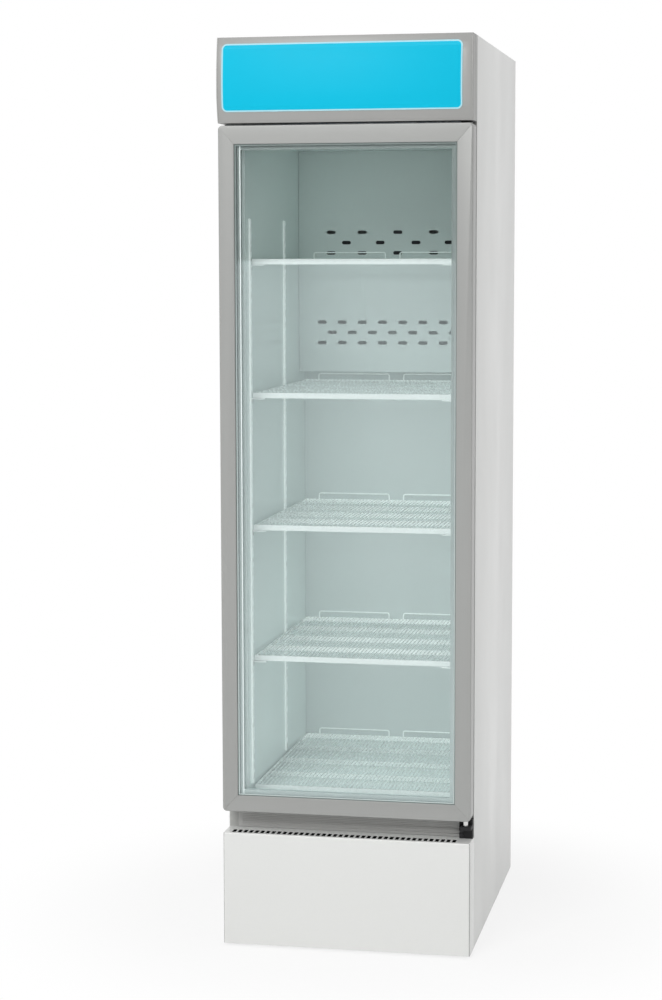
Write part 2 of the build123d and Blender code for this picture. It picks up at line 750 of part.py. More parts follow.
def levelling_foot(x, y):
    pad = rod_z(FOOT_PAD, x, y, (0, FOOT_PAD_HEIGHT))
    pad = chamfer(pad.edges().sort_by(Axis.Z)[-1], FOOT_PAD_HEIGHT / 4)
    return pad + rod_z(FOOT_STEM, x, y, (FOOT_PAD_HEIGHT, FOOT_STEM_TOP))


def lower_front_panel():
    """Folded sheet box in front of the machine space, slotted along its ledge."""
    outer = block((-HALF, HALF), (0, CABINET_FACE), (CASING_BOTTOM, LOWER_PANEL_TOP))
    uprights = outer.edges().filter_by(Axis.Z).group_by(Axis.Y)[0]
    outer = fillet(uprights, FRONT_CORNER)
    brow = outer.edges().filter_by(Axis.X).group_by(Axis.Z)[-1].sort_by(Axis.Y)[0]
    outer = fillet(brow, FRONT_TOP_EDGE)
    inside = HALF - FRONT_SHEET
    hollow = block(
        (-inside, inside),
        (FRONT_SHEET, CABINET_FACE - FRONT_SHEET),
        (CASING_BOTTOM - 1, LOWER_PANEL_TOP - FRONT_SHEET),
    )
    hollow = fillet(hollow.edges().filter_by(Axis.Z).group_by(Axis.Y)[0], FRONT_CORNER - FRONT_SHEET)
    back = block(
        (-FLANGE_HALF, FLANGE_HALF),
        (CABINET_FACE - 2 * FRONT_SHEET, CABINET_FACE + 1),
        (CASING_BOTTOM - 1, LOWER_PANEL_TOP - FRONT_FLANGE),
    )
    slots = [
        block(
            (LEDGE_SLOT_SHIFT + x - LEDGE_SLOT_WIDTH / 2, LEDGE_SLOT_SHIFT + x + LEDGE_SLOT_WIDTH / 2),
            (LEDGE_SLOT_FRONT, LEDGE_SLOT_FRONT + LEDGE_SLOT_LENGTH),
            (LOWER_PANEL_TOP - 2 * FRONT_SHEET, LOWER_PANEL_TOP + 1),
        )
        for x in centred(LEDGE_SLOTS, LEDGE_SLOT_PITCH)
    ]
    return outer - [hollow, back] - slots


# Canopy

def canopy_front(z, inset):
    """Y of the canopy's bowed face at height z, set back by inset."""
    reach = CANOPY_PEAK - CANOPY_BOTTOM if z < CANOPY_PEAK else HEIGHT - CANOPY_PEAK
    radius = (reach**2 + CANOPY_BULGE**2) / (2 * CANOPY_BULGE)
    rise = z - CANOPY_PEAK
    return radius - CANOPY_BULGE - math.sqrt((radius - inset) ** 2 - rise**2)


def bowed_side(inset, bottom, top, back, x):
    """A prism whose front follows the canopy's bow and whose back is flat."""
    lower = [(0, canopy_front(z, inset), z) for z in evenly(bottom, CANOPY_PEAK, 3)]
    upper = [(0, canopy_front(z, inset), z) for z in evenly(CANOPY_PEAK, top, 3)]
    curve = [ThreePointArc(*lower), ThreePointArc(*upper)]
    rest = Polyline(upper[-1], (0, back, top), (0, back, bottom), lower[0])
    face = make_face(curve + [rest])
    return Pos(x[0], 0, 0) * extrude(face, amount=x[1] - x[0], dir=(1, 0, 0))


def canopy_fascia():
    """Bowed front shell with a lamp window and a return at top and bottom."""
    x = (-CANOPY_HALF, CANOPY_HALF)
    outer = bowed_side(0, CANOPY_BOTTOM, HEIGHT, CABINET_FACE, x)
    inner = bowed_side(
        CANOPY_SHELL,
        CANOPY_BOTTOM + CANOPY_SHELL,
        HEIGHT - CANOPY_SHELL,
        CABINET_FACE + 1,
        (x[0] - 1, x[1] + 1),
    )
    undercut = block(
        (x[0] - 1, x[1] + 1),
        (CABINET_FACE - CANOPY_UNDERCUT, CABINET_FACE + 1),
        (CANOPY_BOTTOM - 1, CANOPY_BOTTOM + 2 * CANOPY_SHELL),
    )
    sign_bottom = CANOPY_BOTTOM + SIGN_RISE
    window_z = (sign_bottom + SIGN_OVERLAP, sign_bottom + SIGN_HEIGHT - SIGN_OVERLAP)
    window_half = SIGN_HALF - SIGN_OVERLAP
    window_x = (SIGN_SHIFT - window_half, SIGN_SHIFT + window_half)
    window = block(window_x, (-2 * CANOPY_BULGE, 2 * CANOPY_SHELL), window_z)
    return outer - [inner, undercut, window]


def canopy_end_caps():
    x = (CANOPY_HALF, HALF)
    cap = bowed_side(0, CANOPY_BOTTOM, HEIGHT, CABINET_FACE, x)
    grooves = [
        block(
            (HALF - CAP_GROOVE, HALF + 1),
            (y - CAP_GROOVE_WIDTH / 2, y + CAP_GROOVE_WIDTH / 2),
            (CANOPY_BOTTOM - 1, HEIGHT + 1),
        )
        for y in CAP_GROOVES
    ]
    cap = cap - grooves
    return group([mirrored(cap), cap])


def sign_panel():
    """Bare translucent sheet in front of the lamp, with rounded corners."""
    bottom = CANOPY_BOTTOM + SIGN_RISE
    top = bottom + SIGN_HEIGHT
    reach = SIGN_HALF + SIGN_CORNER
    blank_front = bowed_side(
        -SIGN_THICKNESS, bottom - SIGN_CORNER, top + SIGN_CORNER, CANOPY_BULGE, (-reach, reach)
    )
    behind = bowed_side(
        0, bottom - 2 * SIGN_CORNER, top + 2 * SIGN_CORNER, CANOPY_BULGE + 1, (-reach - 1, reach + 1)
    )
    middle = (SIGN_SHIFT, -3 * CANOPY_BULGE, (bottom + top) / 2)
    plane = Plane(origin=middle, x_dir=(1, 0, 0), z_dir=(0, 1, 0))
    outline = plane * RectangleRounded(2 * SIGN_HALF, SIGN_HEIGHT, SIGN_CORNER)
    return (blank_front - behind) & extrude(outline, amount=6 * CANOPY_BULGE)


def canopy_tray():
    """Lid over the insulation and the plate that closes the canopy's back."""
    lid_y = (CABINET_FACE + SHEET, BACK_FLANGE_FACE)
    lid = block((-INSIDE_HALF, INSIDE_HALF), lid_y, (FOAM_TOP, FOAM_TOP + SHEET))
    front = block(
        (-FLANGE_HALF, FLANGE_HALF), (CABINET_FACE, CABINET_FACE + SHEET), (BREAKER_TOP, ROOF_UNDERSIDE)
    )
    holes = [
        screw_hole(HINGE_SCREW_X, z, (CABINET_FACE - 1, CABINET_FACE + 2)) for z in TOP_HINGE_SCREWS
    ]
    return lid + front - holes


def canopy_lamp_tube():
    return rod_x(LAMP_RADIUS, (-LAMP_HALF, LAMP_HALF), LAMP_BACK, LAMP_Z)


def lamp_holders():
    socket_bottom = LAMP_HALF - HOLDER_SOCKET
    holder = block(
        (socket_bottom, socket_bottom + HOLDER_WIDTH),
        (LAMP_BACK - HOLDER_HALF_HEIGHT, CABINET_FACE),
        (LAMP_Z - HOLDER_HALF_HEIGHT, LAMP_Z + HOLDER_HALF_HEIGHT),
    )
    holder -= rod_x(LAMP_RADIUS + REST_GAP, (socket_bottom - 1, LAMP_HALF + RUNNING), LAMP_BACK, LAMP_Z)
    return group([mirrored(holder), holder])


# Hinges

def top_hinge_bracket():
    right = HINGE_X + TOP_ARM_WIDTH / 2 - TOP_ARM_SHIFT
    x = (right - TOP_ARM_WIDTH, right)
    arm = block(x, (TOP_ARM_FRONT, CABINET_FACE), (TOP_ARM_BOTTOM, TOP_ARM_TOP))
    arm = fillet(arm.edges().filter_by(Axis.Z).group_by(Axis.Y)[0], TOP_ARM_WIDTH / 3)
    leg = block(x, (CABINET_FACE - TOP_LEG, CABINET_FACE), (TOP_ARM_BOTTOM, TOP_ARM_TOP + TOP_LEG_RISE))
    holes = [
        screw_hole(HINGE_SCREW_X, z, (CABINET_FACE - TOP_LEG - 1, CABINET_FACE + 1))
        for z in TOP_HINGE_SCREWS
    ]
    pin_hole = rod_z(PIN_RADIUS + RUNNING, HINGE_X, HINGE_BACK, (TOP_ARM_BOTTOM - 1, TOP_ARM_TOP + 1))
    return arm + leg - [pin_hole] - holes


def bottom_hinge_bracket():
    right = INSIDE_HALF
    body = block(
        (right - HINGE_BLOCK_WIDTH, right),
        (CABINET_FACE - HINGE_BLOCK_DEPTH, CABINET_FACE),
        (LOWER_PANEL_TOP + REST_GAP, DOOR_BOTTOM - HINGE_BLOCK_DROP),
    )
    body = fillet(body.faces().sort_by(Axis.Y)[0].edges(), HINGE_BLOCK_EDGE)
    arm = block(
        (HINGE_X - (right - HINGE_X), right),
        (BOTTOM_ARM_FRONT, CABINET_FACE),
        (BOTTOM_ARM_TOP - BOTTOM_ARM, BOTTOM_ARM_TOP),
    )
    arm = fillet(arm.edges().filter_by(Axis.Z).group_by(Axis.Y)[0], BOTTOM_ARM)
    holes = [
        screw_hole(HINGE_SCREW_X, z, (CABINET_FACE - HINGE_BLOCK_DEPTH - 1, CABINET_FACE + 1))
        for z in BOTTOM_HINGE_SCREWS
    ]
    pin_z = (BOTTOM_ARM_TOP - BOTTOM_ARM - 1, BOTTOM_ARM_TOP + 1)
    return body + arm - [rod_z(PIN_RADIUS + RUNNING, HINGE_X, HINGE_BACK, pin_z)] - holes


def hinge_pins():
    top = rod_z(PIN_RADIUS, HINGE_X, HINGE_BACK, (DOOR_TOP - PIN_ENGAGEMENT, TOP_ARM_TOP))
    bottom_z = (BOTTOM_ARM_TOP - BOTTOM_ARM, DOOR_BOTTOM + PIN_ENGAGEMENT)
    bottom = rod_z(PIN_RADIUS, HINGE_X, HINGE_BACK, bottom_z)
    shoulder_top = DOOR_BOTTOM - BUSH_FLANGE_HEIGHT - REST_GAP
    shoulder = rod_z(PIN_SHOULDER, HINGE_X, HINGE_BACK, (BOTTOM_ARM_TOP, shoulder_top))
    return group([top, bottom + shoulder])


def door_bushes():
    """Flanged plastic bushes pressed into the door's top and bottom edges."""
    outer = BUSH_FLANGE_HEIGHT + BUSH_LENGTH
    bush = rod_z(BUSH_FLANGE, 0, 0, (-BUSH_FLANGE_HEIGHT, 0)) + rod_z(BUSH_RADIUS, 0, 0, (0, BUSH_LENGTH))
    bush -= rod_z(PIN_RADIUS + RUNNING, 0, 0, (-outer, outer))
    bottom = Pos(HINGE_X, HINGE_BACK, DOOR_BOTTOM) * bush
    top = Pos(HINGE_X, HINGE_BACK, DOOR_TOP) * Rot(180, 0, 0) * bush
    return group([bottom, top])


# Door

def mitre_corners(side):
    """Corners of the zone that holds one stile, cut along the mitres."""
    outer, inner = side * (HALF + STILE), side * (BEZEL_HALF - STILE)
    return [
        (outer, DOOR_BOTTOM - BOTTOM_RAIL),
        (inner, BEZEL_BOTTOM + BOTTOM_RAIL),
        (inner, BEZEL_TOP - RAIL),
        (outer, DOOR_TOP + RAIL),
    ]


def stile_zone(side):
    outline = Plane.XZ * Polygon(*mitre_corners(side), align=None)
    return extrude(outline, amount=2 * DOOR_THICKNESS, both=True)


def mitre_grooves():
    """Fine lines on the door's face where the frame's four lengths meet."""
    length = math.hypot(STILE, RAIL)
    cuts = []
    for x_side in (-1, 1):
        for z, z_side, rail in (
            (DOOR_BOTTOM + BOTTOM_RAIL / 2, -1, BOTTOM_RAIL),
            (DOOR_TOP - RAIL / 2, 1, RAIL),
        ):
            tilt = math.degrees(math.atan2(rail, STILE))
            groove = Rot(0, -x_side * z_side * tilt, 0) * Box(2 * length, 2 * MITRE_LINE, MITRE_LINE)
            cuts.append(Pos(x_side * (HALF - STILE / 2), 0, z) * groove)
    return cuts


def door_frame():
    """The whole hollow frame, before it is cut into its four lengths."""
    frame = block((-HALF, HALF), (0, DOOR_THICKNESS), (DOOR_BOTTOM, DOOR_TOP))
    frame = fillet(frame.edges().filter_by(Axis.Y), DOOR_CORNER)
    frame = fillet(frame.faces().sort_by(Axis.Y)[0].edges(), DOOR_EDGE)
    frame -= block((-BEZEL_HALF, BEZEL_HALF), (-1, DOOR_THICKNESS + 1), (BEZEL_BOTTOM, BEZEL_TOP))
    bezel = [
        edge
        for edge in frame.faces().sort_by(Axis.Y)[0].edges()
        if abs(edge.center().X) < HALF - STILE / 2
        and DOOR_BOTTOM + RAIL / 2 < edge.center().Z < DOOR_TOP - RAIL / 2
    ]
    frame = chamfer(bezel, BEZEL_CHAMFER)
    pocket = BEZEL_HALF + GLASS_REBATE
    pocket_z = (BEZEL_BOTTOM - GLASS_REBATE, BEZEL_TOP + GLASS_REBATE)
    frame -= block((-pocket, pocket), (FRAME_LIP, DOOR_THICKNESS + 1), pocket_z)
    chamber = block(
        (FRAME_WALL - HALF, HALF - FRAME_WALL),
        (FRAME_WALL, DOOR_THICKNESS - FRAME_WALL),
        (DOOR_BOTTOM + FRAME_WALL, DOOR_TOP - FRAME_WALL),
    )
    chamber = fillet(chamber.edges().filter_by(Axis.Y), DOOR_CORNER - FRAME_WALL)
    core = pocket + FRAME_WALL
    core_z = (pocket_z[0] - FRAME_WALL, pocket_z[1] + FRAME_WALL)
    chamber -= block((-core, core), (0, DOOR_THICKNESS), core_z)
    bush_way = BUSH_RADIUS + RUNNING
    bush_holes = [
        rod_z(bush_way, HINGE_X, HINGE_BACK, (z - 2 * FRAME_WALL, z + 2 * FRAME_WALL))
        for z in (DOOR_BOTTOM, DOOR_TOP)
    ]
    return frame - [chamber] - bush_holes - mitre_grooves()


def grip_box(wall):
    """The grip's outer box, or with a wall thickness its hollow."""
    y = (GRIP_FRONT, GRIP_FRONT + GRIP_WIDTH)
    z = (GRIP_CENTRE - GRIP_HEIGHT / 2, GRIP_CENTRE + GRIP_HEIGHT / 2)
    mouth = -HALF - (1 if wall else 0)
    return block(
        (mouth, GRIP_REACH - HALF - wall), (y[0] + wall, y[1] - wall), (z[0] + wall, z[1] - wall)
    )


def door_pieces():
    """The frame's two stiles and two rails."""
    frame = door_frame()
    left = (frame & stile_zone(-1)) - grip_box(0)
    right = frame & stile_zone(1)
    rails = (frame - stile_zone(-1) - stile_zone(1)).solids().sort_by(Axis.Z)
    return {
        "door_stile_left": left,
        "door_stile_right": right,
        "door_rail_bottom": rails[0],
        "door_rail_top": rails[-1],
    }


def door_grip():
    return grip_box(0) - grip_box(GRIP_WALL)


def glass_pane(front):
    half = BEZEL_HALF + GLASS_REBATE - GLASS_EDGE_GAP
    margin = GLASS_REBATE - GLASS_EDGE_GAP
    return block((-half, half), (front, front + GLASS), (BEZEL_BOTTOM - margin, BEZEL_TOP + margin))


def rim(reach, width, y):
    """A ring round the glass opening, its outer edge reach beyond the bezel."""
    return hoop(BEZEL_HALF + reach, BEZEL_BOTTOM - reach, BEZEL_TOP + reach, width, y)


def glazing_seal():
    base = rim(GLASS_REBATE, GLASS_REBATE + SEAL_SHOW, (FRAME_LIP, FRAME_LIP + SEAL))
    nose = rim(0, SEAL_SHOW, (FRAME_LIP - SEAL_NOSE, FRAME_LIP))
    return base + nose


def glass_spacer():
    return rim(SPACER_WIDTH - SPACER_SHOW, SPACER_WIDTH, (OUTER_GLASS_BACK, INNER_GLASS_FRONT))


def glazing_bead():
    return rim(GLASS_REBATE, GLASS_REBATE, (INNER_GLASS_BACK, DOOR_THICKNESS - BEAD_SETBACK))


def door_gasket():
    """Magnetic gasket: a base strip, a bellows and a wide head."""
    def strip(margin, y):
        inset = GASKET_SIDE_INSET + margin
        end = GASKET_END_INSET + margin
        return hoop(HALF - inset, DOOR_BOTTOM + end, DOOR_TOP - end, GASKET_WIDTH - 2 * margin, y)

    head_front = DOOR_THICKNESS + GASKET_THICKNESS - GASKET_HEAD
    base = strip(0, (DOOR_THICKNESS, DOOR_THICKNESS + GASKET_BASE))
    bellows_margin = (GASKET_WIDTH - GASKET_BELLOWS) / 2
    bellows = strip(bellows_margin, (DOOR_THICKNESS + GASKET_BASE, head_front))
    head = strip(GASKET_HEAD_MARGIN, (head_front, DOOR_THICKNESS + GASKET_THICKNESS))
    return base + bellows + head


# Shelves, rails and clips

def shelf(top, rear, bar_bottom):
    """A wire shelf: front-to-back wires on upright bars, with two rear stops."""
    bar_top = top - SHELF_WIRE / 2
    wires = [
        rod_y(SHELF_WIRE, x, (SHELF_FRONT + 1, rear - 1), top - SHELF_WIRE)
        for x in centred(WIRES, WIRE_PITCH)
    ]
    span = (-SHELF_HALF, SHELF_HALF)
    bands = [SHELF_FRONT + k * SHELF_BAND_PITCH for k in range(1, SHELF_BANDS + 1)]
    bars = [
        block(span, (y - SHELF_BAR / 2, y + SHELF_BAR / 2), (top - SHELF_DEPTH, bar_top - SHELF_WIRE / 2))
        for y in bands
    ]
    strip = block(span, (SHELF_FRONT, SHELF_FRONT + SHELF_BAR), (top - SHELF_DEPTH, top))
    back = block(span, (rear - SHELF_BAR, rear), (top - SHELF_DEPTH, bar_top))
    sides = [
        block(x, (SHELF_FRONT, rear), (bar_bottom, bar_top))
        for x in ((-SHELF_HALF, SHELF_BAR - SHELF_HALF), (SHELF_HALF - SHELF_BAR, SHELF_HALF))
    ]
    return strip + [back] + bars + sides + wires + [shelf_stop(top, rear, side) for side in (-1, 1)]


def shelf_stop(top, rear, side):
    y = rear - SHELF_BAR / 2
    loop_top = top + STOP_HEIGHT - SHELF_WIRE
    foot = top - SHELF_DEPTH / 2
    inner, outer = side * STOP_INNER, side * STOP_OUTER
    points = [(inner, y, foot), (inner, y, loop_top), (outer, y, loop_top), (outer, y, foot)]
    return tube(points, SHELF_WIRE, STOP_BEND)


def shelves():
    """The shelves from the top one down; the lowest stands on the floor."""
    made = {"shelf_1": shelf(SHELF_TOPS[0], TOP_SHELF_REAR, SHELF_TOPS[0] - SHELF_DEPTH)}
    middle = shelf(0, SHELF_REAR, -SHELF_DEPTH)
    for number, top in enumerate(SHELF_TOPS[1:-1], start=2):
        made[f"shelf_{number}"] = Pos(0, 0, top) * middle
    made[f"shelf_{SHELVES}"] = shelf(BOTTOM_SHELF, SHELF_REAR, LINER_FLOOR + REST_GAP)
    return made


def clip_tab_height(top):
    return top - SHELF_DEPTH - REST_GAP - CLIP_TAB_DROP


def shelf_pilaster(y):
    """A slotted channel on the right wall of the cold room."""
    outside = RAIL_WIDTH / 2
    inside = outside - RAIL_SHEET
    rail = block((RAIL_FACE, LINER_HALF), (y - outside, y + outside), (RAIL_BOTTOM, RAIL_TOP))
    hollow_z = (RAIL_BOTTOM - 1, RAIL_TOP + 1)
    rail -= block((RAIL_FACE + RAIL_SHEET, LINER_HALF + 1), (y - inside, y + inside), hollow_z)
    pitch = SHELF_PITCH / RAIL_SLOTS_PER_SHELF
    first = clip_tab_height(BOTTOM_SHELF)
    count = int((RAIL_TOP - first) / pitch) + 1
    heights = [first + k * pitch for k in range(count)]
    margin = 2 * RAIL_SLOT_HEIGHT
    slots = [
        block(
            (RAIL_FACE - 1, RAIL_FACE + 2 * RAIL_SHEET),
            (y - RAIL_SLOT_WIDTH / 2, y + RAIL_SLOT_WIDTH / 2),
            (z - RAIL_SLOT_HEIGHT / 2, z + RAIL_SLOT_HEIGHT / 2),
        )
        for z in heights
        if RAIL_BOTTOM + margin < z < RAIL_TOP - margin
    ]
    return rail - slots


def shelf_pilasters():
    right = [shelf_pilaster(y) for y in (RAIL_FRONT, RAIL_REAR)]
    return group([mirrored(rail) for rail in right] + right)


def shelf_clip(y, top):
    """A right-hand clip: its tab hooks a rail slot, its tongue holds a shelf."""
    tongue_top = top - SHELF_DEPTH - REST_GAP
    width = (y - CLIP_WIDTH / 2, y + CLIP_WIDTH / 2)
    tongue = block((RAIL_FACE - CLIP_REACH, RAIL_FACE), width, (tongue_top - CLIP_SHEET, tongue_top))
    plate_z = (tongue_top - CLIP_PLATE_HEIGHT, tongue_top)
    plate = block((RAIL_FACE - CLIP_PLATE, RAIL_FACE), width, plate_z)
    tab_half = (RAIL_SLOT_HEIGHT - CLIP_TAB_PLAY) / 2
    tab_width = (RAIL_SLOT_WIDTH - 2 * CLIP_TAB_PLAY) / 2
    z = clip_tab_height(top)
    tab = block(
        (RAIL_FACE - CLIP_PLATE, LINER_HALF - RAIL_SHEET),
        (y - tab_width, y + tab_width),
        (z - tab_half, z + tab_half),
    )
    return tongue + plate + tab


def shelf_clips():
    right = [shelf_clip(y, top) for y in (RAIL_FRONT, RAIL_REAR) for top in SHELF_TOPS[:-1]]
    return group([mirrored(clip) for clip in right] + right)


# Cold air: duct cover, evaporator, fan, drip pan and drain

def duct_cover():
    half = LINER_HALF - DUCT_SIDE_GAP
    front = (DUCT_FRONT, DUCT_FRONT + DUCT_SHEET)
    face = block((-half, half), front, (DUCT_BOTTOM, LINER_CEILING - REST_GAP))
    foot_y = (DUCT_FRONT, LINER_BACK - REST_GAP)
    foot = block((-half, half), foot_y, (DUCT_BOTTOM, DUCT_BOTTOM + DUCT_SHEET))
    through = (front[0] - 1, front[1] + 1)
    cuts = []
    for row, is_middle in enumerate((False, True, False)):
        upper = UPPER_MIDDLE_SLOTS if is_middle else UPPER_OUTER_SLOTS
        z = SHELF_TOPS[0] + UPPER_ROW_RISE + row * AIR_ROW_PITCH
        cuts += [long_slot(x, through, z, AIR_SLOT_LENGTH, AIR_SLOT_HEIGHT) for x in upper]
        count = LOWER_MIDDLE_SLOTS if is_middle else LOWER_OUTER_SLOTS
        z = DUCT_BOTTOM + LOWER_ROW_RISE + row * AIR_ROW_PITCH
        for x in centred(count, LOWER_SLOT_PITCH):
            cuts.append(long_slot(x + LOWER_SLOT_SHIFT, through, z, AIR_SLOT_LENGTH, AIR_SLOT_HEIGHT))
    middle = (DUCT_FRONT + LINER_BACK) / 2
    for x in centred(RETURN_SLOTS, RETURN_SLOT_PITCH):
        cuts.append(
            block(
                (x - AIR_SLOT_LENGTH / 2, x + AIR_SLOT_LENGTH / 2),
                (middle - AIR_SLOT_HEIGHT, middle + AIR_SLOT_HEIGHT),
                (DUCT_BOTTOM - 1, DUCT_BOTTOM + DUCT_SHEET + 1),
            )
        )
    return face + foot - cuts


def coil_route():
    """Centre line of the evaporator's tube: up the front column, down the rear."""
    bend = COIL_PITCH / 2
    end = COIL_HALF + bend
    stub = -(COIL_HALF + COIL_STUB)
    points = [(stub, COIL_FRONT_COLUMN, COIL_BOTTOM_ROW)]
    side = 1
    for row in range(COIL_ROWS):
        z = COIL_BOTTOM_ROW + row * COIL_PITCH
        points.append((side * end, COIL_FRONT_COLUMN, z))
        if row < COIL_ROWS - 1:
            points.append((side * end, COIL_FRONT_COLUMN, z + COIL_PITCH))
        side = -side
    for row in reversed(range(COIL_ROWS)):
        z = COIL_BOTTOM_ROW + row * COIL_PITCH
        points.append((-side * end, COIL_REAR_COLUMN, z))
        if row > 0:
            points.append((side * end, COIL_REAR_COLUMN, z))
        side = -side
    points.append((stub, COIL_REAR_COLUMN, COIL_BOTTOM_ROW))
    return points


def evaporator_coil():
    pipe = tube(coil_route(), COIL_TUBE, COIL_PITCH / 2 - RUNNING)
    top_row = COIL_BOTTOM_ROW + COIL_PITCH * (COIL_ROWS - 1)
    z = (COIL_BOTTOM_ROW - COIL_FIN_MARGIN, top_row + COIL_FIN_MARGIN)
    y = (COIL_FRONT_COLUMN - COIL_BACK_SPACE, LINER_BACK)
    count = int(2 * COIL_HALF / COIL_FIN_PITCH) + 1
    fins = [
        block((x - COIL_FIN / 2, x + COIL_FIN / 2), y, z)
        for x in centred(count, COIL_FIN_PITCH)
    ]
    return pipe + fins


def evaporator_drip_pan():
    y = (COIL_FRONT_COLUMN - COIL_BACK_SPACE - PAN_WALL, LINER_BACK - REST_GAP)
    z = (PAN_BOTTOM, PAN_BOTTOM + PAN_HEIGHT)
    outer = block((-PAN_HALF, PAN_HALF), y, z)
    inner = block(
        (PAN_WALL - PAN_HALF, PAN_HALF - PAN_WALL),
        (y[0] + PAN_WALL, y[1] - PAN_WALL),
        (z[0] + PAN_WALL, z[1] + 1),
    )
    outlet = rod_z(DRAIN_BORE, DRAIN_X, COIL_FRONT_COLUMN, (z[0] - 1, z[1]))
    return outer - [inner, outlet]


def drain_route():
    """From under the drip pan, back through the wall and down to the tray."""
    slope_top = PAN_BOTTOM - DRAIN_DROP
    slope_bottom = slope_top - DRAIN_DROP
    return [
        (DRAIN_X, COIL_FRONT_COLUMN, PAN_BOTTOM),
        (DRAIN_X, COIL_FRONT_COLUMN, slope_top),
        (DRAIN_X, PIPE_PLANE, slope_bottom),
        (DRAIN_X, PIPE_PLANE, DRAIN_END),
    ]


def drain_tube():
    return tube(drain_route(), DRAIN_RADIUS, DRAIN_BEND) - tube(drain_route(), DRAIN_BORE, DRAIN_BEND)


def fan_rotor(x, z, front, radius, hub, depth, count, shaft):
    """A fan's blades and hub about a Y axis."""
    chord = depth / math.sin(math.radians(BLADE_PITCH))
    length = radius - hub / 2
    blade = Pos(hub / 2 + length / 2, 0, 0) * Rot(BLADE_PITCH, 0, 0) * Box(length, BLADE_SHEET, chord)
    blades = [Rot(0, 360 * k / count, 0) * blade for k in range(count)]
    envelope = rod_y(radius, 0, (-depth / 2, depth / 2), 0)
    swept = [piece & envelope for piece in blades]
    rotor = rod_y(hub, 0, (-depth / 2, depth / 2), 0) + swept
    rotor -= rod_y(shaft + RUNNING, 0, (-depth, depth), 0)
    return Pos(x, front + depth / 2, z) * rotor


def evaporator_fan_blade():
    return fan_rotor(
        COLD_FAN_X, COLD_FAN_Z, COLD_FAN_FRONT + PLATE, COLD_FAN_RADIUS, COLD_FAN_HUB,
        COLD_FAN_BLADE_DEPTH, COLD_FAN_BLADES, COLD_FAN_SHAFT,
    )


def evaporator_fan_motor():
    """Square fan frame behind the duct cover, with the motor on four spokes."""
    half = COLD_FAN_FRAME / 2
    back = COLD_FAN_FRONT + COLD_FAN_DEPTH
    frame = block(
        (COLD_FAN_X - half, COLD_FAN_X + half),
        (COLD_FAN_FRONT, back),
        (COLD_FAN_Z - half, COLD_FAN_Z + half),
    )
    frame = fillet(frame.edges().filter_by(Axis.Y), COLD_FAN_CORNER)
    frame -= rod_y(COLD_FAN_OPENING, COLD_FAN_X, (COLD_FAN_FRONT - 1, back + 1), COLD_FAN_Z)
    blade_back = COLD_FAN_FRONT + PLATE + COLD_FAN_BLADE_DEPTH
    motor = rod_y(COLD_FAN_HUB, COLD_FAN_X, (blade_back + PLATE, back + COLD_MOTOR_PROUD), COLD_FAN_Z)
    shaft = rod_y(COLD_FAN_SHAFT, COLD_FAN_X, (COLD_FAN_FRONT + 2 * PLATE, back), COLD_FAN_Z)
    spoke_y = (back - 2 * PLATE, back)
    reach = COLD_FAN_OPENING + PLATE
    spokes = [
        block(
            (COLD_FAN_X - half_x, COLD_FAN_X + half_x),
            spoke_y,
            (COLD_FAN_Z - half_z, COLD_FAN_Z + half_z),
        )
        for half_x, half_z in ((reach, PLATE), (PLATE, reach))
    ]
    return frame + [motor, shaft] + spokes


# Machine space

def compressor():
    """Welded dome shell on a foot plate with rubber grommets."""
    top = COMPRESSOR_BOTTOM + COMPRESSOR_HEIGHT
    shell = rod_z(COMPRESSOR_RADIUS, COMPRESSOR_X, COMPRESSOR_Y, (COMPRESSOR_BOTTOM, top))
    shell = fillet(shell.edges().filter_by(GeomType.CIRCLE), COMPRESSOR_DOME)
    seam_z = (COMPRESSOR_BOTTOM + top) / 2
    seam = rod_z(
        COMPRESSOR_RADIUS + COMPRESSOR_SEAM, COMPRESSOR_X, COMPRESSOR_Y,
        (seam_z - COMPRESSOR_SEAM, seam_z + COMPRESSOR_SEAM),
    )
    reach = COMPRESSOR_FOOT_HALF
    x = (COMPRESSOR_X - reach, COMPRESSOR_X + reach)
    y = (COMPRESSOR_Y - reach, COMPRESSOR_Y + reach)
    plate = block(x, y, (COMPRESSOR_BOTTOM, COMPRESSOR_BOTTOM + COMPRESSOR_FOOT_PLATE))
    plate = fillet(plate.edges().filter_by(Axis.Z), COMPRESSOR_GROMMET)
    inset = COMPRESSOR_GROMMET
    grommets = [
        rod_z(inset, gx, gy, (PAN_TOP, COMPRESSOR_BOTTOM))
        for gx in (x[0] + inset, x[1] - inset)
        for gy in (y[0] + inset, y[1] - inset)
    ]
    terminal = block(
        (COMPRESSOR_X + COMPRESSOR_RADIUS / 2, COMPRESSOR_X + COMPRESSOR_RADIUS + COMPRESSOR_STUB),
        (COMPRESSOR_Y - COMPRESSOR_RADIUS / 3, COMPRESSOR_Y + COMPRESSOR_RADIUS / 3),
        (seam_z - COMPRESSOR_DOME, seam_z + COMPRESSOR_DOME / 3),
    )
    suction_x = (SUCTION_STUB_X, COMPRESSOR_X)
    suction = rod_x(COMPRESSOR_STUB_RADIUS, suction_x, COMPRESSOR_Y, COMPRESSOR_STUB_Z)
    discharge_y = (DISCHARGE_STUB_Y, COMPRESSOR_Y)
    discharge = rod_y(COMPRESSOR_STUB_RADIUS, COMPRESSOR_X, discharge_y, COMPRESSOR_STUB_Z)
    return shell + [seam, plate, terminal, suction, discharge] + grommets


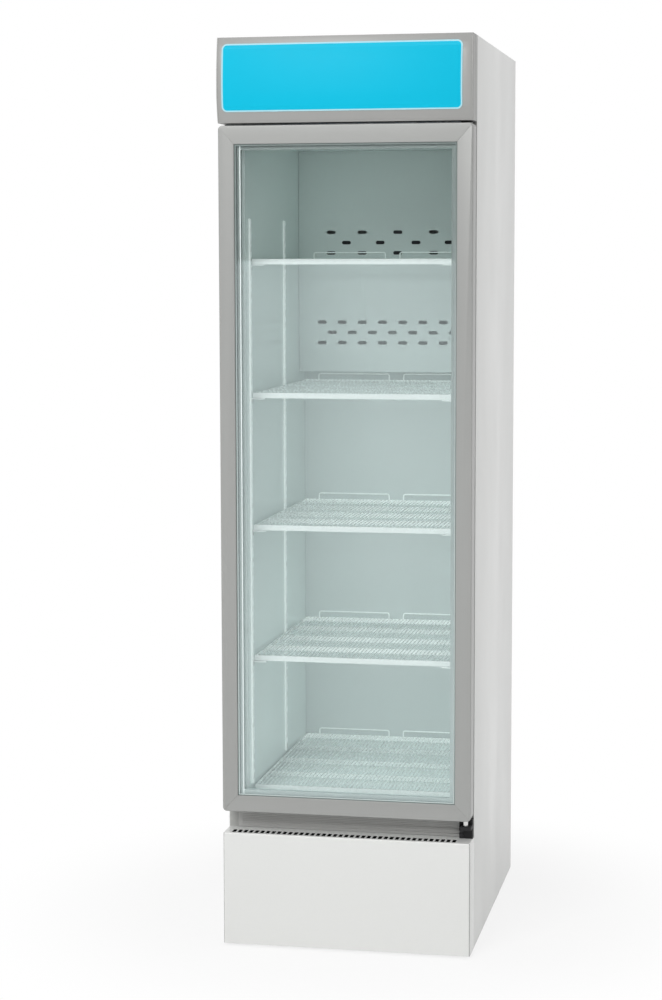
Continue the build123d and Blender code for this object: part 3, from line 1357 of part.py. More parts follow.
def condenser_route():
    """Centre line of the condenser's tube, from the top right to the low left."""
    bend = CONDENSER_PITCH / 2
    left, right = CONDENSER_LEFT - bend, CONDENSER_RIGHT + bend
    points = [(CONDENSER_RIGHT + CONDENSER_STUB, CONDENSER_MIDDLE, CONDENSER_TOP_PASS)]
    for row in range(CONDENSER_PASSES - 1):
        x = left if row % 2 == 0 else right
        z = CONDENSER_TOP_PASS - row * CONDENSER_PITCH
        points += [(x, CONDENSER_MIDDLE, z), (x, CONDENSER_MIDDLE, z - CONDENSER_PITCH)]
    points.append((CONDENSER_LEFT - CONDENSER_STUB, CONDENSER_MIDDLE, CONDENSER_BOTTOM_PASS))
    return points


def condenser():
    """Finned coil with a shroud that carries the fan's collar."""
    pipe = tube(condenser_route(), CONDENSER_TUBE, CONDENSER_PITCH / 2 - RUNNING)
    y = (CONDENSER_FRONT, CONDENSER_BACK)
    z = (PAN_TOP, PAN_TOP + CONDENSER_HEIGHT)
    middle = (CONDENSER_LEFT + CONDENSER_RIGHT) / 2
    count = int((CONDENSER_RIGHT - CONDENSER_LEFT) / CONDENSER_FIN_PITCH)
    fins = [
        block((middle + x - CONDENSER_FIN / 2, middle + x + CONDENSER_FIN / 2), y, z)
        for x in centred(count, CONDENSER_FIN_PITCH)
    ]
    opening = WARM_FAN_RADIUS + WARM_FAN_TIP_GAP
    plate = block((CONDENSER_LEFT, CONDENSER_RIGHT), (CONDENSER_BACK, CONDENSER_BACK + SHROUD), z)
    collar_y = (CONDENSER_BACK, CONDENSER_BACK + SHROUD_COLLAR)
    collar = rod_y(opening + SHROUD, WARM_FAN_X, collar_y, WARM_FAN_Z)
    hole = rod_y(opening, WARM_FAN_X, (CONDENSER_BACK, CONDENSER_BACK + SHROUD_COLLAR + 1), WARM_FAN_Z)
    return (plate + collar - hole) + fins + [pipe]


def condenser_fan_motor():
    y = (WARM_MOTOR_FRONT, WARM_MOTOR_FRONT + WARM_MOTOR_LENGTH)
    motor = rod_y(WARM_MOTOR_RADIUS, WARM_FAN_X, y, WARM_FAN_Z)
    motor = fillet(motor.edges().filter_by(GeomType.CIRCLE), WARM_MOTOR_EDGE)
    shaft = rod_y(WARM_FAN_SHAFT, WARM_FAN_X, (WARM_FAN_FRONT + PLATE, y[1]), WARM_FAN_Z)
    half = PEDESTAL_WIDTH / 2
    middle = (y[0] + y[1]) / 2
    post = block(
        (WARM_FAN_X - half, WARM_FAN_X + half), (middle - half, middle + half), (PAN_TOP, WARM_FAN_Z)
    )
    foot = block(
        (WARM_FAN_X - PEDESTAL_FOOT / 2, WARM_FAN_X + PEDESTAL_FOOT / 2),
        (middle - PEDESTAL_WIDTH, middle + PEDESTAL_WIDTH),
        (PAN_TOP, PAN_TOP + PEDESTAL_PLATE),
    )
    return motor + [shaft, post, foot]


def condenser_fan_blade():
    return fan_rotor(
        WARM_FAN_X, WARM_FAN_Z, WARM_FAN_FRONT, WARM_FAN_RADIUS, WARM_FAN_HUB,
        WARM_FAN_BLADE_DEPTH, WARM_FAN_BLADES, WARM_FAN_SHAFT,
    )


def suction_route():
    """From the evaporator's outlet down the chase to the compressor."""
    stub = -(COIL_HALF + COIL_STUB)
    return [
        (stub, COIL_REAR_COLUMN, COIL_BOTTOM_ROW),
        (SUCTION_X, COIL_REAR_COLUMN, COIL_BOTTOM_ROW),
        (SUCTION_X, PIPE_PLANE, COIL_BOTTOM_ROW),
        (SUCTION_X, PIPE_PLANE, COMPRESSOR_STUB_Z),
        (SUCTION_X, COMPRESSOR_Y, COMPRESSOR_STUB_Z),
        (SUCTION_STUB_X, COMPRESSOR_Y, COMPRESSOR_STUB_Z),
    ]


def liquid_riser_route():
    """The liquid line's upper stretch, from the machine space to the coil."""
    stub = -(COIL_HALF + COIL_STUB)
    turn = COIL_BOTTOM_ROW + LIQUID_RISE
    return [
        (stub, COIL_FRONT_COLUMN, COIL_BOTTOM_ROW),
        (LIQUID_X, COIL_FRONT_COLUMN, COIL_BOTTOM_ROW),
        (LIQUID_X, COIL_FRONT_COLUMN, turn),
        (LIQUID_X, PIPE_PLANE, turn),
        (LIQUID_X, PIPE_PLANE, CONDENSER_BOTTOM_PASS),
    ]


def refrigerant_pipes():
    suction = tube(suction_route(), SUCTION_RADIUS, PIPE_BEND)
    stub = CONDENSER_RIGHT + CONDENSER_STUB
    discharge = tube(
        [
            (COMPRESSOR_X, DISCHARGE_STUB_Y, COMPRESSOR_STUB_Z),
            (COMPRESSOR_X, DISCHARGE_TURN, COMPRESSOR_STUB_Z),
            (DISCHARGE_X, DISCHARGE_TURN, COMPRESSOR_STUB_Z),
            (DISCHARGE_X, DISCHARGE_TURN, CONDENSER_TOP_PASS),
            (DISCHARGE_X, CONDENSER_MIDDLE, CONDENSER_TOP_PASS),
            (stub, CONDENSER_MIDDLE, CONDENSER_TOP_PASS),
        ],
        DISCHARGE_RADIUS,
        PIPE_BEND,
    )
    z = CONDENSER_BOTTOM_PASS
    side = [
        (LIQUID_SIDE_X, PIPE_PLANE, z),
        (LIQUID_SIDE_X, CONDENSER_MIDDLE, z),
        (CONDENSER_LEFT - CONDENSER_STUB, CONDENSER_MIDDLE, z),
    ]
    liquid = tube(liquid_riser_route() + side, LIQUID_RADIUS, PIPE_BEND)
    drier = rod_y(DRIER_RADIUS, LIQUID_SIDE_X, (DRIER_FRONT, DRIER_FRONT + DRIER_LENGTH), z)
    drier = fillet(drier.edges().filter_by(GeomType.CIRCLE), DRIER_RADIUS / 2)
    return group([suction, discharge, liquid + drier])


def drip_tray():
    z = (PAN_TOP + REST_GAP, PAN_TOP + TRAY_HEIGHT)
    y = (TRAY_FRONT, BACK_FLANGE_FACE - PLATE - 2 * BASE_PLATE)
    outer = block((TRAY_LEFT, TRAY_RIGHT), y, z)
    outer = fillet(outer.edges().filter_by(Axis.Z), 4 * TRAY_WALL)
    inner = block(
        (TRAY_LEFT + TRAY_WALL, TRAY_RIGHT - TRAY_WALL),
        (y[0] + TRAY_WALL, y[1] - TRAY_WALL),
        (z[0] + TRAY_WALL, z[1] + 1),
    )
    return outer - fillet(inner.edges().filter_by(Axis.Z), 3 * TRAY_WALL)


# Electrical box and what is on it

def control_box():
    """Box under the deck; its rear face carries knob, switch and inlet."""
    y = (BOX_REAR - BOX_DEPTH, BOX_REAR)
    z = (BOX_TOP - BOX_HEIGHT, BOX_TOP)
    outer = block((BOX_LEFT, BOX_RIGHT), y, z)
    rear_wall = BOX_REAR - BOX_SHEET
    inner = block(
        (BOX_LEFT + BOX_SHEET, BOX_RIGHT - BOX_SHEET),
        (y[0] - 1, rear_wall),
        (z[0] + BOX_SHEET, z[1] - BOX_SHEET),
    )
    thermostat = rod_y(THERMOSTAT_RADIUS, KNOB_X, (rear_wall - THERMOSTAT_LENGTH, rear_wall), PANEL_Z)
    shaft = rod_y(KNOB_SHAFT, KNOB_X, (rear_wall, BOX_REAR + KNOB_LENGTH), PANEL_Z)
    housing = block(
        (SWITCH_X - SWITCH_HALF_WIDTH, SWITCH_X + SWITCH_HALF_WIDTH),
        (BOX_REAR + SWITCH_PROUD - SWITCH_DEPTH, BOX_REAR + SWITCH_PROUD),
        (PANEL_Z - SWITCH_HALF_HEIGHT, PANEL_Z + SWITCH_HALF_HEIGHT),
    )
    half_length = ROCKER_LENGTH / 2 + REST_GAP
    pocket_x = (SWITCH_X - half_length, SWITCH_X + half_length)
    pocket_radius = ROCKER_RADIUS + REST_GAP
    pocket = rod_x(pocket_radius, pocket_x, ROCKER_AXIS, PANEL_Z)
    mouth = block(
        pocket_x,
        (ROCKER_AXIS, BOX_REAR + SWITCH_PROUD + 1),
        (PANEL_Z - pocket_radius, PANEL_Z + pocket_radius),
    )
    pin_reach = ROCKER_LENGTH / 2 + ROCKER_PIN_LENGTH + REST_GAP
    pins = rod_x(ROCKER_PIN + RUNNING, (SWITCH_X - pin_reach, SWITCH_X + pin_reach), ROCKER_AXIS, PANEL_Z)
    inlet = block(
        (INLET_X - INLET_WIDTH / 2, INLET_X + INLET_WIDTH / 2),
        (BOX_REAR - 2 * BOX_SHEET, BOX_REAR + 1),
        (PANEL_Z - INLET_HEIGHT / 2, PANEL_Z + INLET_HEIGHT / 2),
    )
    return outer - [inner, inlet] + [thermostat, shaft, housing] - [pocket, mouth, pins]


def thermostat_knob():
    y = (BOX_REAR + KNOB_GAP, BOX_REAR + KNOB_GAP + KNOB_LENGTH)
    knob = rod_y(KNOB_RADIUS, KNOB_X, y, PANEL_Z)
    knob = chamfer(knob.edges().sort_by(Axis.Y)[-1], KNOB_EDGE)
    pointer = block(
        (KNOB_X - KNOB_POINTER / 2, KNOB_X + KNOB_POINTER / 2),
        (y[1] - KNOB_POINTER / 2, y[1] + 1),
        (PANEL_Z + KNOB_RADIUS / 4, PANEL_Z + KNOB_RADIUS),
    )
    flute = rod_y(KNOB_FLUTE_RADIUS, KNOB_RADIUS + KNOB_FLUTE_RADIUS / 2, (y[0] - 1, y[1] + 1), 0)
    flutes = [
        Pos(KNOB_X, 0, PANEL_Z) * Rot(0, 360 * k / KNOB_FLUTES, 0) * flute for k in range(KNOB_FLUTES)
    ]
    bore = rod_y(KNOB_SHAFT + RUNNING, KNOB_X, (y[0] - 1, BOX_REAR + KNOB_LENGTH + REST_GAP), PANEL_Z)
    return knob - [pointer, bore] - flutes


def light_switch():
    """Rocker with a shallow V across its face, tilted to its off position."""
    x = (-ROCKER_LENGTH / 2, ROCKER_LENGTH / 2)
    body = rod_x(ROCKER_RADIUS, x, 0, 0)
    far = 2 * ROCKER_RADIUS
    corners = [(ROCKER_NOTCH_ROOT, 0), (far, ROCKER_RADIUS), (far, -ROCKER_RADIUS)]
    notch = profile_x(corners, (x[0] - 1, x[1] + 1))
    reach = ROCKER_LENGTH / 2 + ROCKER_PIN_LENGTH
    rocker = (body - notch) + rod_x(ROCKER_PIN, (-reach, reach), 0, 0)
    return Pos(SWITCH_X, ROCKER_AXIS, PANEL_Z) * Rot(-ROCKER_REST_TILT, 0, 0) * rocker


def power_inlet():
    """Mains inlet socket with three flat contacts."""
    body = block(
        (INLET_X - INLET_WIDTH / 2, INLET_X + INLET_WIDTH / 2),
        (BOX_REAR - INLET_DEPTH, BOX_REAR + INLET_FLANGE),
        (PANEL_Z - INLET_HEIGHT / 2, PANEL_Z + INLET_HEIGHT / 2),
    )
    flange = block(
        (INLET_X - INLET_FLANGE_WIDTH / 2, INLET_X + INLET_FLANGE_WIDTH / 2),
        (BOX_REAR, BOX_REAR + INLET_FLANGE),
        (PANEL_Z - INLET_HEIGHT / 2 - 1, PANEL_Z + INLET_HEIGHT / 2 + 1),
    )
    flange = fillet(flange.edges().filter_by(Axis.Y), INLET_FLANGE)
    mouth = BOX_REAR + INLET_FLANGE
    socket = block(
        (INLET_X - INLET_SOCKET_WIDTH / 2, INLET_X + INLET_SOCKET_WIDTH / 2),
        (mouth - INLET_SOCKET_DEPTH, mouth + 1),
        (PANEL_Z - INLET_SOCKET_HEIGHT / 2, PANEL_Z + INLET_SOCKET_HEIGHT / 2),
    )
    contacts = [
        block(
            (x - CONTACT_WIDTH / 2, x + CONTACT_WIDTH / 2),
            (mouth - INLET_SOCKET_DEPTH, mouth - INLET_FLANGE),
            (z - CONTACT_HEIGHT / 2, z + CONTACT_HEIGHT / 2),
        )
        for x, z in (
            (INLET_X - CONTACT_PITCH, PANEL_Z - 2),
            (INLET_X, PANEL_Z + 2),
            (INLET_X + CONTACT_PITCH, PANEL_Z - 2),
        )
    ]
    return body + flange - socket + contacts


def all_pieces():
    pieces = {
        "side_panel_left": mirrored(side_panel()),
        "side_panel_right": side_panel(),
        "back_panel": back_panel(),
        "top_panel": top_panel(),
        "foam_insulation": foam_insulation(),
        "inner_liner": inner_liner(),
        "breaker_frame": breaker_frame(),
        "lower_crossmember": lower_crossmember(),
        "base_pan": base_pan(),
        "lower_front_panel": lower_front_panel(),
        "rear_grille": rear_grille(),
        "canopy_fascia": canopy_fascia(),
        "canopy_end_caps": canopy_end_caps(),
        "sign_panel": sign_panel(),
        "canopy_tray": canopy_tray(),
        "canopy_lamp_tube": canopy_lamp_tube(),
        "lamp_holders": lamp_holders(),
        "top_hinge_bracket": top_hinge_bracket(),
        "bottom_hinge_bracket": bottom_hinge_bracket(),
        "hinge_pins": hinge_pins(),
        "duct_cover": duct_cover(),
        "evaporator_coil": evaporator_coil(),
        "evaporator_fan_motor": evaporator_fan_motor(),
        "evaporator_fan_blade": evaporator_fan_blade(),
        "evaporator_drip_pan": evaporator_drip_pan(),
        "drain_tube": drain_tube(),
        "shelf_pilasters": shelf_pilasters(),
        "shelf_clips": shelf_clips(),
        "compressor": compressor(),
        "condenser": condenser(),
        "condenser_fan_motor": condenser_fan_motor(),
        "condenser_fan_blade": condenser_fan_blade(),
        "refrigerant_pipes": refrigerant_pipes(),
        "drip_tray": drip_tray(),
        "control_box": control_box(),
        "power_inlet": power_inlet(),
        "thermostat_knob": thermostat_knob(),
        "light_switch": light_switch(),
        "screws": screws(),
        "outer_glass": glass_pane(OUTER_GLASS_FRONT),
        "inner_glass": glass_pane(INNER_GLASS_FRONT),
        "glass_spacer": glass_spacer(),
        "glazing_seal": glazing_seal(),
        "glazing_bead": glazing_bead(),
        "door_gasket": door_gasket(),
        "door_grip": door_grip(),
        "door_bushes": door_bushes(),
    }
    pieces.update(door_pieces())
    pieces.update(shelves())
    for corner, (x, y) in FOOT_PLACES.items():
        pieces[f"levelling_foot_{corner}"] = levelling_foot(x, y)
    return pieces


def save(name, shape):
    """Writes one piece, its solids moved so that Y = 0 is the footprint's middle."""
    export_step(Pos(0, -FOOTPRINT_MIDDLE, 0) * shape, f"parts/{name}.step")


os.makedirs("parts", exist_ok=True)
for piece_name, piece_shape in all_pieces().items():
    save(piece_name, piece_shape)
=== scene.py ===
import json
import math

import bmesh
import bpy
from mathutils import Matrix, Vector


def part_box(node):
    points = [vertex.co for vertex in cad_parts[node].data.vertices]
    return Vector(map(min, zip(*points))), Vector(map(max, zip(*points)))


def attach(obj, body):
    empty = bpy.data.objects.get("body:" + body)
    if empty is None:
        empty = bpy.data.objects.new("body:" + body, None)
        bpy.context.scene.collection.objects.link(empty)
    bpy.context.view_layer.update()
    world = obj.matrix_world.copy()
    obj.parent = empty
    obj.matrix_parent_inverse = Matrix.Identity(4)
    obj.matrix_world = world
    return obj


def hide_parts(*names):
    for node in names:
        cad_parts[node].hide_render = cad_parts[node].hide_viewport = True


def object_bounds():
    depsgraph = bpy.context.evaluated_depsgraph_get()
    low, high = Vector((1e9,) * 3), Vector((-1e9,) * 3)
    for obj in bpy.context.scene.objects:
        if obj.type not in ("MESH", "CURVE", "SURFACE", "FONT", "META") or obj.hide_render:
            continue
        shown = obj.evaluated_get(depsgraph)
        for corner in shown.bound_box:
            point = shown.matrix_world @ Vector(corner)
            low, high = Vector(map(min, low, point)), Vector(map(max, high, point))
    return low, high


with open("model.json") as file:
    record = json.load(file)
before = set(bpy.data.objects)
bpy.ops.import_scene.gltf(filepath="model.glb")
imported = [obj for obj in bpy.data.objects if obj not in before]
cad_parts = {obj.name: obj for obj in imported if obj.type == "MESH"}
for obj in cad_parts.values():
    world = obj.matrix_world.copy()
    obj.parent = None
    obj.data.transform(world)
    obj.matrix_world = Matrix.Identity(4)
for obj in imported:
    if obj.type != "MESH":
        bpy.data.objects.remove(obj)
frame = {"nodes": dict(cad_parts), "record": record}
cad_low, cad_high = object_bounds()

MM = 0.001

# The photograph's frame and the camera that fits it
PHOTO_HEIGHT_PX = 1000
FOCAL_LENGTH_PX = 2291.5
SENSOR_HEIGHT_MM = 24.0
CAMERA_PLACE = (0.9439, -5.27105, 1.5538)
CAMERA_TURN = math.radians(11.258)
CAMERA_DIP = math.radians(6.151)
CAMERA_LEAN = math.radians(-0.132)

# Sky, and the dim room that the glass mirrors, as parts of a direction of length 1
WHITE = (1.0, 1.0, 1.0)
SKY_LIGHT = 0.55
ROOM_LEVEL = 0.06
ROOM_FOOT = -0.0042
ROOM_BLUR = 0.0018
ROOM_HEAD = (0.45, 0.75)
ROOM_SIDE = (0.3, 0.6)

# Lamps: places and sizes in metres
FRONT_LAMP_PLACE = (-1.6, -6.0, 4.6)
FRONT_LAMP_SIZE = (3.0, 2.4)
FRONT_LAMP_WATTS = 232.0
SIDE_LAMP_PLACE = (3.4, -1.2, 2.2)
SIDE_LAMP_SIZE = (2.0, 2.4)
SIDE_LAMP_WATTS = 6.3
INSIDE_LAMP_GAP = 0.002
INSIDE_LAMP_MARGIN = 0.015
INSIDE_LAMP_WATTS = 1.3
INSIDE_LAMP_SPREAD = math.radians(115.0)

# Floor: its shadow is kept near the cooler and lightened
FLOOR_HALF = 40.0
FLOOR_COLOUR = (0.86, 0.86, 0.86)
SHADOW_NEAR = 0.4
SHADOW_FAR = 1.0
SHADOW_LIGHTENED = 0.82

# Edges: how much is rounded off, and which edges count as hard
WELD = 0.000002
FLAT_ANGLE = math.radians(0.2)
HARD_ANGLE = math.radians(35.0)
SHADE_ANGLE = math.radians(32.0)
SHORTEST_EDGE = 0.006

# How deep the grain of a finish is, in metres
ORANGE_PEEL = 0.00003
BRUSHED_GRAIN = 0.00002
CRYSTAL_GRAIN = 0.00001
MOULD_GRAIN = 0.00004
FINE_MOULD_GRAIN = 0.00003
RUBBER_GRAIN = 0.00003
METAL_SCRATCH = 0.000008
ENAMEL_WAVE = 0.000002
SHEET_GRAIN = 0.000004
DIP_RUNS = 0.0001
FOAM_PORES = 0.0004

# Door glass: what one pane's face passes, and what colour and how much a pane mirrors
GLASS_TINT = (0.985, 0.997, 0.996)
GLASS_SHINE = (0.9, 0.97, 1.0)
GLASS_FACES = 2.3
GLASS_INDEX = 1.5


# Shader sums and nodes

class Signal:
    """One output of a shader node, which takes part in sums."""

    def __init__(self, recipe, socket):
        self.recipe = recipe
        self.socket = socket

    def __add__(self, other):
        return self.recipe.sum("ADD", self, other)

    def __radd__(self, other):
        return self.recipe.sum("ADD", other, self)

    def __sub__(self, other):
        return self.recipe.sum("SUBTRACT", self, other)

    def __rsub__(self, other):
        return self.recipe.sum("SUBTRACT", other, self)

    def __mul__(self, other):
        return self.recipe.sum("MULTIPLY", self, other)

    def __rmul__(self, other):
        return self.recipe.sum("MULTIPLY", other, self)

    def __pow__(self, other):
        return self.recipe.sum("POWER", self, other)


class Recipe:
    """The node tree of a new material, or of the world."""

    def __init__(self, name, world=None):
        self.owner = world or bpy.data.materials.new(name)
        self.owner.use_nodes = True
        self.tree = self.owner.node_tree
        self.tree.nodes.clear()

    def node(self, kind, settings=None, sockets=None, output=0):
        """Adds a node, sets it, then joins or fills its sockets."""
        made = self.tree.nodes.new("ShaderNode" + kind)
        for name, value in (settings or {}).items():
            setattr(made, name, value)
        for key, value in (sockets or {}).items():
            if isinstance(value, Signal):
                self.tree.links.new(value.socket, made.inputs[key])
            else:
                made.inputs[key].default_value = value
        return Signal(self, made.outputs[output]) if made.outputs else made

    def sum(self, operation, first, second):
        return self.node("Math", {"operation": operation}, {0: first, 1: second})

    def larger(self, first, second):
        return self.sum("MAXIMUM", first, second)

    def smaller(self, first, second):
        return self.sum("MINIMUM", first, second)

    def distance(self, axis, middle=0.0):
        """How far a point lies from a middle plane, to either side."""
        return self.node("Math", {"operation": "ABSOLUTE"}, {0: self.place(axis) - middle})

    def place(self, axis=None):
        """Object coordinates, in metres, or one of them."""
        point = self.node("TexCoord", output="Object")
        if axis is None:
            return point
        return self.node("SeparateXYZ", sockets={0: point}, output=axis)

    def scaled(self, x, y, z):
        """Object coordinates stretched by three factors."""
        return self.node("VectorMath", {"operation": "MULTIPLY"}, {0: self.place(), 1: (x, y, z)})

    def noise(self, scale, detail=2.0, vector=None, seed=0.0):
        sockets = {"Vector": vector or self.place(), "Scale": scale, "Detail": detail, "W": seed}
        return self.node("TexNoise", {"noise_dimensions": "4D"}, sockets)

    def step(self, value, low, high, start=0.0, end=1.0):
        """start up to low, end beyond high, and eased between them."""
        settings = {"interpolation_type": "SMOOTHSTEP"}
        return self.node("MapRange", settings, {0: value, 1: low, 2: high, 3: start, 4: end})

    def past(self, value, limit, blur):
        """0 up to a limit and 1 beyond it, over a soft edge."""
        return self.step(value, limit, limit + blur)

    def near(self, value, limit, blur):
        """1 up to a limit and 0 beyond it."""
        return 1 - self.past(value, limit, blur)

    def blend(self, factor, first, second):
        """A colour between two colours."""
        # The mix node's colour sockets share their names with others, so they go by number
        sockets = {0: factor, 6: opaque(first), 7: opaque(second)}
        return self.node("Mix", {"data_type": "RGBA"}, sockets, output=2)

    def bump(self, height, depth):
        """A normal from a height of 0 to 1 that stands depth metres tall."""
        return self.node("Bump", sockets={"Strength": 1.0, "Distance": depth, "Height": height})

    def surface(self, sockets):
        return self.node("BsdfPrincipled", sockets=sockets)

    def finish(self, shader):
        self.node("OutputMaterial", sockets={0: shader})
        return self.owner


def opaque(colour):
    return colour if isinstance(colour, Signal) else (*colour, 1.0)


def linear(red, green, blue):
    """Scene colour of a colour given as it shows on a screen, 0 to 255."""
    def curve(level):
        share = level / 255
        return share / 12.92 if share <= 0.04045 else ((share + 0.055) / 1.055) ** 2.4

    return (curve(red), curve(green), curve(blue))


def shaded(colour, factor):
    """The colour with less light in it, or with more where factor is over 1."""
    return tuple(level * factor for level in colour)


# Casing and cold room: where a finish, or the painted light and shade on it, changes, in metres from a
# face or from the ground
BLUR = 0.0001
PANEL_SKIN = 0.00108
FLANGE_SKIN = 0.0016
LINER_SKIN = 0.005
DUCT_SKIN = 0.002
DUCT_MARGIN = 0.001
# Band of painted shade on the liner's rear wall, behind the upper air slots
STRIP_BOTTOM = 1.530
STRIP_TOP = 1.600
STRIP_BLUR = 0.004
# Heights where painted light comes in on the cold room's walls, low down and high up
LOW_WALL = (0.6, 1.0)
HIGH_WALL = (1.3, 1.65)
# Across the rear wall, where its painted shade grows to the right
REAR_WALL_LEFT_TO_RIGHT = (-0.2, 0.23)
DUSTY_HEIGHT = 0.5
# Heights over which the door's upper parts take their painted light and shade
DOOR_HEAD = (0.9, 1.8)
HINGE_SCREWS = (-0.1, 0.0)

# Glass edge: spacer bar, its bright corner as a painted highlight, the sealant, and the painted shadow
# line along the bezel
SPACER_WIDTH = 0.0135
SPACER_SKIN = 0.0002
SPACER_BLUR = 0.0004
SPACER_CORNER = 0.0018
SPACER_PAINTED_GLOW = 0.1
GLASS_IN_FRAME = 0.006
# Width and blur of the painted shadow line along the bezel
BEZEL_SHADOW_WIDTH = 0.0018
BEZEL_SHADOW_BLUR = 0.0006

# Sign panel and lamp tube
SIGN_CORNER = 0.012
SIGN_BORDER = 0.003
SIGN_BLUR = 0.0004
LAMP_ENDS = (0.225, 0.243)

# Shelves: the front bar, in painted shade, and the stops at the rear, with a painted glow
FRONT_BAR = 0.005
FRONT_BAR_BLUR = 0.007
REAR_STOP = 0.007
REAR_STOP_BLUR = 0.001

# Door gasket: how wide and how smooth it is, and half of its section in millimetres,
# as distance from its middle and depth behind the door
GASKET_SHADE_ANGLE = math.radians(60.0)
GASKET_HALF_WIDTH = 0.009
GASKET_HALF_PROFILE = (
    (9.0, 0.0), (9.0, 2.0), (8.4, 2.8), (7.4, 3.0), (5.0, 3.3), (4.0, 4.2), (3.8, 5.2), (4.4, 6.2),
    (3.8, 7.2), (4.0, 8.3), (4.9, 9.3), (7.2, 9.9), (7.9, 10.6), (8.0, 11.8), (7.5, 13.0), (6.2, 13.7),
)


# Places where a finish changes or painted shade goes, as masks

def panel_hollow_painted_shade(r):
    """The hollow of the lower front panel, which is darkened as painted shade."""
    low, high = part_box("lower_front_panel")
    behind = r.past(r.place("Y"), low.y + PANEL_SKIN, BLUR)
    below = r.near(r.place("Z"), high.z - PANEL_SKIN - BLUR, BLUR)
    between = r.near(r.distance("X"), high.x - PANEL_SKIN - BLUR, BLUR)
    return behind * below * between


def front_flange(r):
    """The side panels' flanges behind the door."""
    low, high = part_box("side_panel_right")
    front = r.near(r.place("Y"), low.y + FLANGE_SKIN, BLUR)
    return front * r.near(r.distance("X"), high.x - FLANGE_SKIN, BLUR)


def liner_back(r):
    """The liner's rear wall."""
    return r.past(r.place("Y"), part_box("inner_liner")[1].y - LINER_SKIN, BLUR)


def rear_wall(r):
    """The liner's rear wall and the duct cover's front."""
    low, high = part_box("duct_cover")
    face = r.near(r.place("Y"), low.y + DUCT_SKIN, BLUR)
    face = face * r.past(r.place("Y"), low.y - DUCT_MARGIN - BLUR, BLUR)
    face = face * r.past(r.place("Z"), low.z - DUCT_MARGIN - BLUR, BLUR)
    face = face * r.near(r.distance("X"), high.x - BLUR, BLUR)
    return r.larger(liner_back(r), face)


def painted_shade_behind_slots(r):
    """A band of painted shade across the liner's rear wall, behind the upper air slots."""
    above = r.past(r.place("Z"), STRIP_BOTTOM, STRIP_BLUR)
    below = r.near(r.place("Z"), STRIP_TOP - STRIP_BLUR, STRIP_BLUR)
    return liner_back(r) * above * below


# Colours laid over the masks: painted shade in the lower panel's hollow and behind the upper air
# slots, grey on the side panels' flanges
PATCHES = {
    panel_hollow_painted_shade: (0.03, 0.03, 0.03),
    front_flange: linear(176, 177, 174),
    painted_shade_behind_slots: (0.04, 0.045, 0.045),
}


# Finishes

def painted(name, colour, gloss=0.35, dust=0.0, patch=None, coat=0.25):
    """Powder coat: fine orange peel, a trace of handling, dust low down, and a patch if given (painted
    shade in the lower panel's hollow, grey on the side panels' flanges).
    """
    r = Recipe(name)
    clouds = r.noise(3.0, 3.0, seed=1.0)
    speck = r.noise(220.0, 2.0, seed=2.0)
    shade = r.blend(clouds, shaded(colour, 0.972), shaded(colour, 1.02))
    shade = r.blend(r.step(speck, 0.35, 0.75) * 0.06, shade, shaded(colour, 0.86))
    if dust:
        low = r.near(r.place("Z"), 0.0, DUSTY_HEIGHT)
        shade = r.blend(low * clouds * dust, shade, (0.42, 0.40, 0.36))
    if patch:
        shade = r.blend(patch(r), shade, PATCHES[patch])
    smears = r.noise(9.0, 4.0, r.scaled(1.0, 1.0, 0.35), seed=3.0)
    sockets = {
        "Base Color": shade,
        "Roughness": r.step(smears, 0.3, 0.7, gloss - 0.04, gloss + 0.06),
        "Normal": r.bump(r.noise(650.0, 1.0, seed=4.0), ORANGE_PEEL),
        "Coat Weight": coat,
        "Coat Roughness": 0.18,
    }
    return r.finish(r.surface(sockets))


def casing_paint(name, colour, patch=None):
    """The casing's pale powder coat, a little dusty near the ground."""
    return painted(name, colour, gloss=0.32, dust=0.15, patch=patch)


def brushed_paint(name, colour, top=1.0):
    """Satin grey profile paint with faint long drawing lines; top scales its upper part's colour, as
    painted shade under 1 and painted light over 1.
    """
    r = Recipe(name)
    streaks = r.noise(1.0, 3.0, r.scaled(900.0, 900.0, 9.0), seed=5.0)
    clouds = r.noise(2.2, 2.0, seed=6.0)
    shade = r.blend(clouds, shaded(colour, 0.975), shaded(colour, 1.025))
    shade = r.blend(r.step(streaks, 0.3, 0.8) * 0.05, shade, shaded(colour, 0.8))
    sockets = {
        # Painted light and shade on the upper part, by top
        "Base Color": r.blend(r.step(r.place("Z"), *DOOR_HEAD), shade, shaded(colour, top)),
        "Roughness": r.step(streaks, 0.2, 0.8, 0.36, 0.46),
        "Metallic": 0.15,
        "Normal": r.bump(r.noise(480.0, 2.0, seed=7.0), BRUSHED_GRAIN),
        "Coat Weight": 0.15,
        "Coat Roughness": 0.25,
    }
    return r.finish(r.surface(sockets))


def galvanised(name, tint):
    """Zinc sheet: spangle of flat crystals, each with its own grey and gloss."""
    r = Recipe(name)
    crystal = r.node("TexVoronoi", {"feature": "F1"}, {"Vector": r.place(), "Scale": 130.0}, "Color")
    level = r.node("SeparateColor", sockets={0: crystal})
    grime = r.noise(6.0, 4.0, seed=8.0)
    shade = r.blend(level, shaded(tint, 0.82), shaded(tint, 1.12))
    shade = r.blend(r.step(grime, 0.55, 0.85) * 0.25, shade, shaded(tint, 0.55))
    sockets = {
        "Base Color": shade,
        "Metallic": 0.9,
        "Roughness": r.step(level, 0.0, 1.0, 0.34, 0.52),
        "Normal": r.bump(level, CRYSTAL_GRAIN),
    }
    return r.finish(r.surface(sockets))


